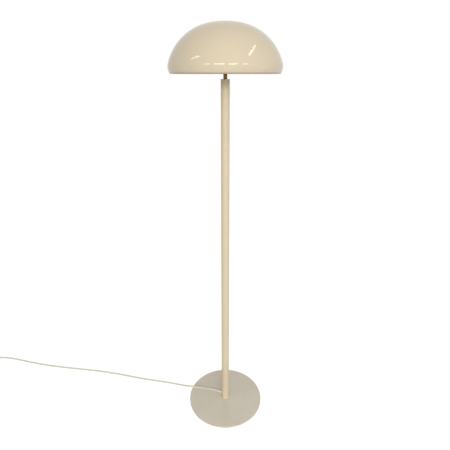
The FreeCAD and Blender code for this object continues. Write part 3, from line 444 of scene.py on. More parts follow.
def stand_paint(name):
    """Gloss paint sprayed on steel: slight mottling, orange peel, rubbed edges, dust and painted light on
    upward faces.
    """
    base = tuple(colours().stand)
    paint = Finish(name, Roughness=0.24, IOR=1.5, Specular_IOR_Level=0.5)
    mottle = paint.remap(paint.noise(9.0, 4.0), 0.35, 0.65)
    colour = paint.mix(mottle, tint(base, 0.975), tint(base, 1.02))
    yellowing = paint.remap(paint.noise(3.0, 2.0), 0.4, 0.8)
    colour = paint.mix(yellowing, colour, warm(base, 0.05))
    dust = paint.remap(paint.cells(520.0), 0.05, 0.02)
    rare = paint.remap(paint.noise(60.0, 1.0), 0.6, 0.66)
    specks = paint.sums("MULTIPLY", dust, rare)
    colour = paint.mix(specks, colour, tint(base, 0.72))
    edge = paint.remap(paint.from_axis(), sizes().foot_radius - 1.4 * MM, sizes().foot_radius)
    chips = paint.remap(paint.noise(130.0, 5.0, 0.7), 0.56, 0.62)
    worn = paint.sums("MULTIPLY", edge, chips)
    colour = paint.mix(worn, colour, srgb(158, 146, 122))
    # Upward faces turn lighter and greyer: partly settled dust, partly painted light that brightens them.
    level = paint.remap(paint.facing_up(), 0.8, 1.0)
    dust_and_painted_light = paint.remap(paint.noise(14.0, 6.0, 0.6), 0.3, 0.75, 0.5, 0.72)
    colour = paint.mix(paint.sums("MULTIPLY", level, dust_and_painted_light), colour, srgb(231, 226, 213))
    paint.join(colour, "Base Color")
    handled = paint.remap(paint.noise(26.0, 5.0, 0.65), 0.3, 0.7, 0.1, 0.22)
    paint.join(handled, "Roughness")
    paint.bump(paint.noise(240.0, 2.0), 0.25 * MM, 0.12)
    paint.bump(paint.noise(34.0, 1.0), 1.2 * MM, 0.05)
    return paint.material


def shade_gloss(name):
    """Glossy moulded plastic: almost even colour, painted shade at the rim, slow waves in the surface, fine
    scuffs.
    """
    base = tuple(colours().shade)
    plastic = Finish(name, Roughness=0.06, IOR=1.49)
    cloud = plastic.remap(plastic.noise(5.0, 3.0), 0.35, 0.7)
    colour = plastic.mix(cloud, tint(base, 0.985), tint(base, 1.015))
    # Painted shade: the lowest 6 mm of the shade darken towards brown at the rim.
    rim_painted_shade = plastic.remap(plastic.height_above_floor(), SHADE_LOW.z + 6 * MM, SHADE_LOW.z)
    colour = plastic.mix(rim_painted_shade, colour, srgb(158, 134, 98))
    lint = plastic.remap(plastic.cells(330.0), 0.035, 0.015)
    rare = plastic.remap(plastic.noise(45.0, 1.0), 0.62, 0.66)
    colour = plastic.mix(plastic.sums("MULTIPLY", lint, rare), colour, tint(base, 0.8))
    plastic.join(colour, "Base Color")
    scuffs = plastic.noise(60.0, 6.0, 0.7, plastic.stretched(1.0, 1.0, 3.0))
    plastic.join(plastic.remap(scuffs, 0.35, 0.75, 0.04, 0.11), "Roughness")
    plastic.bump(plastic.noise(9.0, 1.0, warp=0.3), 2.0 * MM, 0.05)
    plastic.bump(plastic.noise(75.0, 2.0), 0.3 * MM, 0.06)
    return plastic.material


def aged_copper(name):
    """Darkened copper tube: brown patina, brighter where it is rubbed, fine turned lines."""
    base = tuple(colours().copper)
    metal = Finish(name, Metallic=1.0, Roughness=0.34)
    patina = metal.remap(metal.noise(150.0, 5.0, 0.7), 0.38, 0.62)
    colour = metal.mix(patina, tint(base, 0.55), base)
    brassy = metal.remap(metal.noise(70.0, 2.0), 0.5, 0.7)
    colour = metal.mix(brassy, colour, srgb(176, 132, 72))
    metal.join(colour, "Base Color")
    metal.join(metal.remap(metal.noise(260.0, 3.0), 0.3, 0.7, 0.25, 0.5), "Roughness")
    metal.bump(metal.waves(900.0, warp=0.6), 0.03 * MM, 0.25)
    return metal.material


def plain_metal(base, roughness, grain=400.0, stain=0.85):
    """A metal with fine grain and slight stains, in a given colour."""

    def build(name):
        metal = Finish(name, Metallic=1.0, Roughness=roughness)
        stains = metal.remap(metal.noise(120.0, 4.0, 0.6), 0.35, 0.7)
        metal.join(metal.mix(stains, base, tint(base, stain)), "Base Color")
        spread = metal.remap(metal.noise(grain, 3.0), 0.3, 0.7, roughness * 0.75, roughness * 1.3)
        metal.join(spread, "Roughness")
        metal.bump(metal.noise(grain * 3, 2.0), 0.04 * MM, 0.2)
        return metal.material

    return build


def moulded(colour_of, roughness, grain=1400.0, relief=0.05 * MM):
    """Moulded plastic with a fine texture and handling marks."""

    def build(name):
        base = colour_of()
        plastic = Finish(name, Roughness=roughness, IOR=1.48)
        wear = plastic.remap(plastic.noise(55.0, 5.0, 0.65), 0.35, 0.7)
        colour = plastic.mix(wear, tint(base, 1.02), tint(base, 0.95))
        grime = plastic.remap(plastic.noise(210.0, 3.0), 0.6, 0.72)
        colour = plastic.mix(grime, colour, tint(base, 0.9))
        plastic.join(colour, "Base Color")
        spread = plastic.remap(plastic.noise(90.0, 4.0), 0.3, 0.7, roughness * 0.85, roughness * 1.2)
        plastic.join(spread, "Roughness")
        plastic.bump(plastic.noise(grain, 2.0), relief, 0.3)
        return plastic.material

    return build


def cord_sheath(name):
    """Flexible sheath: satin, faintly dusty, with slow unevenness along it."""
    base = tuple(colours().cord)
    sheath = Finish(name, Roughness=0.42, IOR=1.46)
    dusty = sheath.remap(sheath.noise(35.0, 5.0, 0.6), 0.35, 0.7)
    colour = sheath.mix(dusty, base, tint(base, 0.93))
    marks = sheath.remap(sheath.noise(160.0, 4.0, 0.7), 0.62, 0.7)
    sheath.join(sheath.mix(marks, colour, tint(base, 0.8)), "Base Color")
    sheath.join(sheath.remap(sheath.noise(80.0, 3.0), 0.3, 0.7, 0.34, 0.52), "Roughness")
    sheath.bump(sheath.noise(300.0, 2.0), 0.1 * MM, 0.15)
    return sheath.material


HALFWAY_TO_SWITCH = -0.5


def core_sheath(name):
    """Two thin cores, brown on one side and blue on the other."""
    core = Finish(name, Roughness=0.4)
    across = core.add("ShaderNodeSeparateXYZ", {"Vector": core.place}).outputs["X"]
    in_holder = core.sums("GREATER_THAN", across, 0.0)
    far_out = core.sums("LESS_THAN", across, HALFWAY_TO_SWITCH)
    in_switch = core.sums("MULTIPLY", far_out, core.sums("GREATER_THAN", across, SWITCH_CENTRE.x))
    blue = core.sums("ADD", in_holder, in_switch)
    colour = core.mix(blue, srgb(104, 66, 40), srgb(52, 92, 150))
    core.join(core.mix(core.remap(core.noise(300.0), 0.4, 0.7), colour, (0.1, 0.08, 0.07)), "Base Color")
    core.bump(core.noise(900.0, 2.0), 0.04 * MM, 0.2)
    return core.material


def felt(name):
    """Pressed wool felt: short fibres in every direction."""
    wool = Finish(name, Roughness=0.95, Sheen_Weight=0.35, Sheen_Roughness=0.5)
    fibres = wool.noise(900.0, 6.0, 0.8, wool.stretched(1.0, 0.35, 1.0), 1.5)
    crossed = wool.noise(900.0, 6.0, 0.8, wool.stretched(0.35, 1.0, 1.0), 1.5)
    fuzz = wool.sums("MAXIMUM", fibres, crossed)
    wool.join(wool.mix(wool.remap(fuzz, 0.4, 0.75), srgb(48, 48, 50), srgb(96, 96, 98)), "Base Color")
    wool.bump(fuzz, 0.5 * MM, 0.8)
    return wool.material


def opal_glass(name):
    """Opal glass: milky, with a smooth outside."""
    glass = Finish(
        name, Roughness=0.12, IOR=1.5, Subsurface_Weight=0.35,
        Subsurface_Radius=(0.01, 0.01, 0.009), Coat_Weight=0.2, Coat_Roughness=0.03,
    )
    cloud = glass.remap(glass.noise(70.0, 3.0), 0.4, 0.7)
    glass.join(glass.mix(cloud, (0.86, 0.855, 0.83), (0.9, 0.895, 0.88)), "Base Color")
    glass.join(glass.remap(glass.noise(110.0, 4.0), 0.3, 0.7, 0.1, 0.18), "Roughness")
    glass.bump(glass.noise(40.0, 1.0), 0.3 * MM, 0.05)
    return glass.material


def tie_strap(name):
    """Black hook-and-loop strap: small loops on a woven back."""
    strap = Finish(name, Roughness=0.85, Sheen_Weight=0.3)
    weave = strap.sums("MULTIPLY", strap.waves(420.0, direction="X"), strap.waves(420.0, direction="Y"))
    loops = strap.cells(1500.0)
    strap.join(strap.mix(loops, srgb(20, 20, 22), srgb(54, 54, 58)), "Base Color")
    strap.bump(loops, 0.25 * MM, 0.8)
    strap.bump(weave, 0.1 * MM, 0.4)
    return strap.material


def constant(*rgb):
    return lambda: srgb(*rgb)


FINISHES = {
    "felt": felt,
    "stand_paint": stand_paint,
    "shade_plastic": shade_gloss,
    "aged_copper": aged_copper,
    "zinc_steel": plain_metal((0.55, 0.56, 0.57), 0.36),
    "carrier_paint": stand_paint,
    "tip_rubber": moulded(constant(214, 208, 196), 0.55, 700.0),
    "holder_plastic": moulded(constant(232, 228, 218), 0.28, 500.0, 0.02 * MM),
    "ceramic": moulded(constant(240, 238, 232), 0.16, 90.0, 0.1 * MM),
    "brass": plain_metal((0.72, 0.52, 0.22), 0.3, stain=0.7),
    "cord_sheath": cord_sheath,
    "core_sheath": core_sheath,
    "tie_plastic": tie_strap,
    "switch_plastic": moulded(lambda: tuple(colours().switch), 0.4),
    "foot_rubber": moulded(constant(38, 38, 38), 0.75, 900.0),
    "block_plastic": moulded(constant(42, 42, 44), 0.4),
    "spring_steel": plain_metal((0.5, 0.5, 0.52), 0.25),
    "plug_plastic": moulded(lambda: tuple(colours().switch), 0.36),
    "nickel": plain_metal((0.68, 0.66, 0.62), 0.18, stain=0.92),
    "sleeve_plastic": moulded(constant(28, 28, 28), 0.35, 500.0),
    "opal_glass": opal_glass,
    "cap_metal": plain_metal((0.7, 0.7, 0.7), 0.3),
    "bulb_insulator": moulded(constant(26, 24, 24), 0.12, 200.0, 0.05 * MM),
}


def finish(slot):
    """The finish of a material slot, made when it is first asked for."""
    name = slot + "_finish"
    return bpy.data.materials.get(name) or FINISHES[slot](name)


# ---------------------------------------------------------------- operators


class LAMP_OT_camera(bpy.types.Operator):
    """Sets up the camera at the photograph's height and angle"""

    bl_idname = "lamp.camera"
    bl_label = "Camera"

    DISTANCE = 1.21035
    HEIGHT = 1.20727
    DOWN = math.radians(15.5)
    LENS_MM = 30.82
    # The photograph's middle lies off the lens axis by these shares of its width
    SHIFT_X = -0.0006
    SHIFT_Y = -0.1

    def execute(self, context):
        data = bpy.data.cameras.new("camera")
        data.lens = self.LENS_MM
        data.shift_x = self.SHIFT_X
        data.shift_y = self.SHIFT_Y
        camera = in_scene("camera", data)
        camera.location = (0, -self.DISTANCE, self.HEIGHT)
        camera.rotation_euler = (math.pi / 2 - self.DOWN, 0, 0)
        context.scene.camera = camera
        return {"FINISHED"}


class LAMP_OT_foot(bpy.types.Operator):
    """Makes the round foot and the felt pad under it"""

    bl_idname = "lamp.foot"
    bl_label = "Foot"

    HOLE_R = 5.05 * MM
    SINK_R = 10.05 * MM
    PAD_HOLE_R = 16.0 * MM
    PAD_EDGE = 0.5 * MM

    def execute(self, context):
        radius = sizes().foot_radius
        low, top = FOOT_LOW.z, FOOT_HIGH.z
        corners = [(self.SINK_R, low), (radius, low), (radius, top), (self.HOLE_R, top)]
        rim = soften(corners, sizes().foot_edge, steps=6)
        outline = [*rim, (self.HOLE_R, low + self.SINK_R - self.HOLE_R)]
        foot = lathe("foot", outline, 256, closed=True)
        place(foot, "stand_paint", "stand", "foot_disc")
        pad_r = PAD_HIGH.x
        corners = [(self.PAD_HOLE_R, 0), (pad_r, 0), (pad_r, PAD_HIGH.z), (self.PAD_HOLE_R, PAD_HIGH.z)]
        pad = lathe("felt_pad", soften(corners, self.PAD_EDGE, closed=True), 192, closed=True)
        place(pad, "felt", "stand", "foot_pad")
        return {"FINISHED"}


class LAMP_OT_stem(bpy.types.Operator):
    """Makes the stem's tube, its cap and the copper sleeve on it"""

    bl_idname = "lamp.stem"
    bl_label = "Stem"

    SEAM = 0.15 * MM
    CAP_EDGE = 0.5 * MM
    SLEEVE_EDGE = 0.35 * MM
    SPIGOT_L = 16.0 * MM
    SPIGOT_PLAY = 0.05 * MM
    BORE_R = 5.05 * MM

    def execute(self, context):
        radius = sizes().stem_radius
        inside = radius - sizes().stem_wall
        low, top = STEM_LOW.z, STEM_HIGH.z
        corners = [(inside, low), (radius, low), (radius, top), (inside, top)]
        tube = lathe("stem", soften(corners, self.SEAM, closed=True), 128, closed=True)
        place(tube, "stand_paint", "stand", "stem_tube")
        cap_top = STEM_CAP_HIGH.z
        corners = [(inside, top), (radius, top), (radius, cap_top), (self.BORE_R, cap_top)]
        end = top - self.SPIGOT_L
        outline = [*soften(corners, self.CAP_EDGE), (self.BORE_R, end), (inside - self.SPIGOT_PLAY, end)]
        cap = lathe("stem_top", outline, 128, closed=True)
        place(cap, "stand_paint", "stand", "stem_cap")
        sleeve_r = sizes().sleeve_radius
        low, top = SLEEVE_LOW.z, SLEEVE_HIGH.z
        corners = [(self.BORE_R, low), (sleeve_r, low), (sleeve_r, top), (self.BORE_R, top)]
        sleeve = lathe("sleeve", soften(corners, self.SLEEVE_EDGE, closed=True), 64, closed=True)
        place(sleeve, "aged_copper", "stand", "copper_sleeve")
        return {"FINISHED"}


class LAMP_OT_shade(bpy.types.Operator):
    """Makes the domed shade from four arcs that run into each other"""

    bl_idname = "lamp.shade"
    bl_label = "Shade"

    STEPS = (8, 44, 18, 16)
    RIM_STEPS = 8
    SEGMENTS = 224

    def arcs(self, inset):
        """Centres, radii and angles from upright of the dome's arcs, moved inwards by inset."""
        lamp = sizes()
        crown, shoulder = lamp.shade_crown_angle, lamp.shade_shoulder_angle
        # Two unknown radii from the dome's width and height
        a = math.sin(crown)
        b = math.sin(shoulder) - a
        c = 1 - math.cos(crown)
        d = math.cos(crown) - math.cos(shoulder)
        side_r = lamp.shade_shoulder_radius
        rise = SHADE_HIGH.z - SHADE_LOW.z - lamp.shade_tuck_height
        width = lamp.shade_radius - side_r * (1 - math.sin(shoulder))
        height = rise - side_r * math.cos(shoulder)
        scale = a * d - b * c
        crown_r = (width * d - b * height) / scale
        middle_r = (a * height - width * c) / scale
        low = SHADE_LOW.z + lamp.shade_tuck_height
        side_x = lamp.shade_radius - side_r
        middle_x = side_x - (middle_r - side_r) * math.sin(shoulder)
        middle_z = low - (middle_r - side_r) * math.cos(shoulder)
        tuck_r = lamp.shade_tuck_radius
        half_wall = lamp.shade_wall / 2
        tuck = math.asin((lamp.shade_tuck_height - half_wall) / (tuck_r - half_wall))
        return [
            ((0.0, SHADE_HIGH.z - crown_r), crown_r - inset, 0.0, crown),
            ((middle_x, middle_z), middle_r - inset, crown, shoulder),
            ((side_x, low), side_r - inset, shoulder, math.pi / 2),
            ((lamp.shade_radius - tuck_r, low), tuck_r - inset, math.pi / 2, math.pi / 2 + tuck),
        ]

    def outline(self, inset):
        points = [(0.0, SHADE_HIGH.z - inset)]
        for ((x, z), radius, start, end), steps in zip(self.arcs(inset), self.STEPS):
            for k in range(steps):
                angle = start + (end - start) * (k + 1) / steps
                points.append((x + radius * math.sin(angle), z + radius * math.cos(angle)))
        return points

    def execute(self, context):
        wall = sizes().shade_wall
        outer = self.outline(0.0)
        inner = self.outline(wall)
        (x, z), radius, _, end = self.arcs(wall / 2)[-1]
        middle = Vector((x + radius * math.sin(end), z + radius * math.cos(end)))
        out = Vector((math.sin(end), math.cos(end)))
        down = Vector((math.cos(end), -math.sin(end)))
        rim = []
        for k in range(1, self.RIM_STEPS):
            angle = math.pi * k / self.RIM_STEPS
            rim.append(middle + (out * math.cos(angle) + down * math.sin(angle)) * wall / 2)
        shade = lathe("shade", [*outer, *rim, *reversed(inner)], self.SEGMENTS)
        place(shade, "shade_plastic", "shade", "shade_dome")
        return {"FINISHED"}


class LAMP_OT_holder(bpy.types.Operator):
    """Makes the lamp holder's fluted shell"""

    bl_idname = "lamp.holder"
    bl_label = "Lamp holder"

    WALL = 2.0 * MM
    LIP_R = 14.9 * MM
    LIP_T = 2.0 * MM
    EDGE = 0.8 * MM
    FLUTES = 36
    FLUTE_DEPTH = 0.55 * MM
    FLUTES_FROM = 6.0 * MM
    FLUTES_TO = 29.0 * MM
    FLUTE_END = 2.5 * MM
    SIDE_STEPS = 40

    def fluted(self, radius, height, z, count):
        """A ring whose radius dips into flutes between two heights."""
        above = z - (height + self.FLUTES_FROM)
        below = height + self.FLUTES_TO - z
        share = max(0.0, min(1.0, above / self.FLUTE_END, below / self.FLUTE_END))
        points = ring(radius, z, count)
        for k, point in enumerate(points):
            dip = abs(math.sin(k * math.pi * self.FLUTES / count))
            shrink = 1 - share * self.FLUTE_DEPTH * (1 - dip) / radius
            point.xy = point.xy * shrink
        return points

    def execute(self, context):
        low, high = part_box("holder_shell")
        radius = high.x
        inside = radius - self.WALL
        count = self.FLUTES * 6
        corners = [(inside, low.z), (radius, low.z), (radius, high.z), (self.LIP_R, high.z)]
        outer = soften(corners, self.EDGE)
        side = [p for p in outer if p.x > radius - 1e-6]
        bottom, top = side[0].y, side[-1].y
        rings = []
        for p in outer:
            rings.append(ring(p.x, p.y, count))
            if p == side[0]:
                for k in range(1, self.SIDE_STEPS):
                    z = bottom + (top - bottom) * k / self.SIDE_STEPS
                    rings.append(self.fluted(radius, low.z, z, count))
        rings += [ring(r, high.z - self.LIP_T, count) for r in (self.LIP_R, inside)]
        shell = loft("holder_fluted_shell", rings, closed=True, sharp=50)
        place(shell, "holder_plastic", "stand", "holder_shell")
        return {"FINISHED"}


class LAMP_OT_bulb(bpy.types.Operator):
    """Makes the opal globe and its threaded cap"""

    bl_idname = "lamp.bulb"
    bl_label = "Bulb"

    GLASS = 0.8 * MM
    NECK_R = 12.5 * MM
    THREAD_PITCH = 3.6 * MM
    THREAD_DEPTH = 0.85 * MM
    THREAD_STEP = 0.3 * MM
    PLAIN_END = 1.6 * MM
    # How far the cap's ends draw in, as a share of the thread's depth
    END_DIP = 0.3
    LEAST_WALL = 0.03 * MM
    CAP_PLAY = 0.05 * MM
    STEPS = 40
    CAP_COUNT = 72

    def globe(self):
        radius = sizes().bulb_radius
        centre = BULB_HIGH.z - radius
        inner_neck, inner = self.NECK_R - self.GLASS, radius - self.GLASS
        waist = math.pi - math.asin(self.NECK_R / radius)
        inner_waist = math.pi - math.asin(inner_neck / inner)
        outline = []
        for k in range(self.STEPS + 1):
            angle = waist * k / self.STEPS
            outline.append((radius * math.sin(angle), centre + radius * math.cos(angle)))
        outline += [(self.NECK_R, BULB_LOW.z), (inner_neck, BULB_LOW.z)]
        for k in range(self.STEPS + 1):
            angle = inner_waist * (1 - k / self.STEPS)
            outline.append((inner * math.sin(angle), centre + inner * math.cos(angle)))
        return lathe("globe", outline, 96, sharp=60)

    def threaded_cap(self):
        """A rolled thread: the ring's radius follows a helix."""
        low, high = BULB_CAP_LOW.z, BULB_CAP_HIGH.z
        radius = BULB_CAP_HIGH.x
        count = self.CAP_COUNT
        inside = self.NECK_R + self.CAP_PLAY
        rings = [ring(inside, low, count)]
        steps = round((high - low) / self.THREAD_STEP)
        for step in range(steps + 1):
            z = low + (high - low) * step / steps
            share = max(0.0, min(1.0, (z - low) / self.PLAIN_END, (high - z) / self.PLAIN_END))
            points = ring(1.0, z, count)
            for k, point in enumerate(points):
                wave = math.cos(FULL_TURN * ((z - low) / self.THREAD_PITCH - k / count))
                depth = self.THREAD_DEPTH * (share * (1 - wave) / 2 + self.END_DIP * (1 - share))
                point.xy = point.xy * max(inside + self.LEAST_WALL, radius - depth)
            rings.append(points)
        rings.append(ring(inside, high, count))
        return loft("threaded_cap", rings, closed=True, sharp=60)

    def execute(self, context):
        place(self.globe(), "opal_glass", "bulb", "bulb_globe")
        place(self.threaded_cap(), "cap_metal", "bulb", "bulb_cap")
        return {"FINISHED"}


def cord_curve(name, points):
    """A round cord along one smooth NURBS spline."""
    curve = bpy.data.curves.new(name, "CURVE")
    curve.dimensions = "3D"
    curve.bevel_depth = sizes().cord_radius
    curve.bevel_resolution = 5
    curve.use_fill_caps = True
    spline = curve.splines.new("NURBS")
    spline.points.add(len(points) - 1)
    for target, point in zip(spline.points, points):
        target.co = (*point, 1.0)
    spline.order_u = 3
    spline.use_endpoint_u = True
    spline.resolution_u = 8
    return in_scene(name, curve)


# A groove's outline: place as a share of its width, depth as a share of its depth
GROOVE = ((-0.5, 0.0), (-0.35, 1.0), (0.35, 1.0), (0.5, 0.0))
RELIEF_END_R = 3.3 * MM
RELIEF_TIP_L = 0.4 * MM
RELIEF_TIP_W = 0.3 * MM


def grooved_taper(name, head, start_r, length, grooves=5, groove_w=1.8 * MM, groove_d=0.7 * MM):
    """A flexible bush that tapers, with ring grooves, along +Z. head is the outline before it."""
    outline = list(head)
    pitch = length / (grooves + 1)
    for k in range(1, grooves + 1):
        middle = pitch * k
        here = start_r + (RELIEF_END_R - start_r) * middle / length
        outline += [(here - groove_d * dip, middle + groove_w * offset) for offset, dip in GROOVE]
    outline += [(RELIEF_END_R, length - RELIEF_TIP_L), (RELIEF_END_R - RELIEF_TIP_W, length), (0.0, length)]
    return lathe(name, outline, 48, sharp=50)


class LAMP_OT_cords(bpy.types.Operator):
    """Makes the mains cord, its coil and the strain relief where it leaves the stem"""

    bl_idname = "lamp.cords"
    bl_label = "Cord"

    LEAD_LENGTH = 1.12
    PLUG_CORD_LENGTH = 0.996
    RELIEF_ROOT_R = 4.5 * MM
    RELIEF_ROOT_L = 5.4 * MM
    FLANGE_R = 6.0 * MM
    FLANGE_T = 2.0 * MM
    FLANGE_EDGE = 0.4 * MM
    FLANGE_PLAY = 0.05 * MM
    # Length, count of grooves, and the grooves' width and depth
    TAPER = (24.0 * MM, 6, 1.9 * MM, 0.75 * MM)

    def coil_points(self):
        """The coil's turns: in on the lower layer, up, and out on the upper one."""
        turns = 2 * COIL_TURNS_PER_LAYER + 0.5
        inner = COIL_R - COIL_STEP * COIL_TURNS_PER_LAYER
        per_turn = COIL_POINTS_PER_TURN
        # The curve runs inside its control points by this much
        outwards = 1 / math.cos(math.pi / per_turn)
        points = []
        for k in range(int(turns * per_turn)):
            turn = (k + 0.5) / per_turn
            if turn <= COIL_TURNS_PER_LAYER:
                radius = COIL_R - COIL_STEP * turn
                height = COIL_Z
            elif turn >= COIL_TURNS_PER_LAYER + 0.5:
                radius = inner + COIL_STEP * (turn - COIL_TURNS_PER_LAYER - 0.5)
                height = COIL_Z + COIL_LAYER
            else:
                share = (turn - COIL_TURNS_PER_LAYER) * 2
                radius = inner - COIL_STEP / 4 * (1 - abs(2 * share - 1))
                height = COIL_Z + COIL_LAYER * (1 - math.cos(math.pi * share)) / 2
            angle = math.pi + turn * FULL_TURN
            points.append(COIL_CENTRE + polar(radius * outwards, angle, height))
        return points

    def strain_relief(self):
        """The bush in the stem's side: a flange against the stem and a grooved taper."""
        root, thick = self.RELIEF_ROOT_R, self.FLANGE_T
        edge = self.FLANGE_R - self.FLANGE_EDGE
        head = [
            (0.0, -self.RELIEF_ROOT_L), (root, -self.RELIEF_ROOT_L), (root, -thick), (edge, -thick),
            (self.FLANGE_R, self.FLANGE_EDGE - thick), (self.FLANGE_R, -self.FLANGE_EDGE),
            (edge, 0.0), (root, 0.0),
        ]
        bush = grooved_taper("stem_relief", head, root, *self.TAPER)
        flange_face = sizes().stem_radius + self.FLANGE_PLAY
        return turn_to(bush, EXIT_WAY, EXIT_WAY * (flange_face + thick) + UP * EXIT_HEIGHT)

    def execute(self, context):
        lead = cord_curve("mains_lead", LEAD_POINTS)
        place(lead, "cord_sheath", "stand", "cord_lead")
        end = cord_curve("plug_lead", [*LINK_POINTS[:-1], *self.coil_points(), *TAIL_POINTS[1:]])
        place(end, "cord_sheath", "stand", "cord_link", "cord_coil", "cord_tail")
        place(self.strain_relief(), "cord_sheath", "stand", "strain_relief")
        return {"FINISHED"}


class LAMP_OT_declare_cords(bpy.types.Operator):
    """Reads the lead's first point and changes nothing"""

    bl_idname = "lamp.declare_cords"
    bl_label = "Cord lengths"

    def execute(self, context):
        tuple(LEAD_POINTS[0])
        return {"FINISHED"}


class LAMP_OT_strap(bpy.types.Operator):
    """Makes the strap that holds the coil together"""

    bl_idname = "lamp.strap"
    bl_label = "Coil strap"

    THICKNESS = 0.6 * MM
    CORNER_R = 3.2 * MM
    CORNER_STEPS = 6
    EDGE = 0.18 * MM

    def loop(self, inset, x):
        """A rounded rectangle round the coil's turns, moved inwards by inset."""
        low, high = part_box("cord_tie")
        middle = (low + high) / 2
        half_y, half_z = high.y - middle.y - self.CORNER_R, high.z - middle.z - self.CORNER_R
        radius = self.CORNER_R - inset
        points = []
        for quarter, (side, up) in enumerate(((1, 1), (-1, 1), (-1, -1), (1, -1))):
            for k in range(self.CORNER_STEPS + 1):
                angle = (quarter + k / self.CORNER_STEPS) * math.pi / 2
                y = middle.y + side * half_y + radius * math.cos(angle)
                points.append(Vector((x, y, middle.z + up * half_z + radius * math.sin(angle))))
        return points

    def execute(self, context):
        low, high = (corner.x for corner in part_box("cord_tie"))
        edge, thick = self.EDGE, self.THICKNESS
        section = (
            (edge, low), (0.0, low + edge), (0.0, high - edge), (edge, high), (thick, high), (thick, low),
        )
        strap = loft("strap", [self.loop(inset, x) for inset, x in section], closed=True)
        place(strap, "tie_plastic", "stand", "cord_tie")
        return {"FINISHED"}


def stadium(inset, z, count):
    """The foot switch's outline, moved inwards by inset."""
    radius = (SWITCH_HIGH.x - SWITCH_LOW.x) / 2
    reach = (SWITCH_HIGH.y - SWITCH_LOW.y) / 2 - radius
    radius -= inset
    points = []
    for half, side in ((0, 1), (1, -1)):
        for k in range(count + 1):
            angle = math.pi * (half + k / count)
            across, along = radius * math.cos(angle), radius * math.sin(angle) + side * reach
            points.append(SWITCH_CENTRE + Vector((across, along, z)))
    return points


def switch_circle(radius, z, count):
    """A circle round the button's axis with as many points as the stadium."""
    total = 2 * (count + 1)
    return [SWITCH_CENTRE + polar(radius, FULL_TURN * (k + 0.5) / total, z) for k in range(total)]


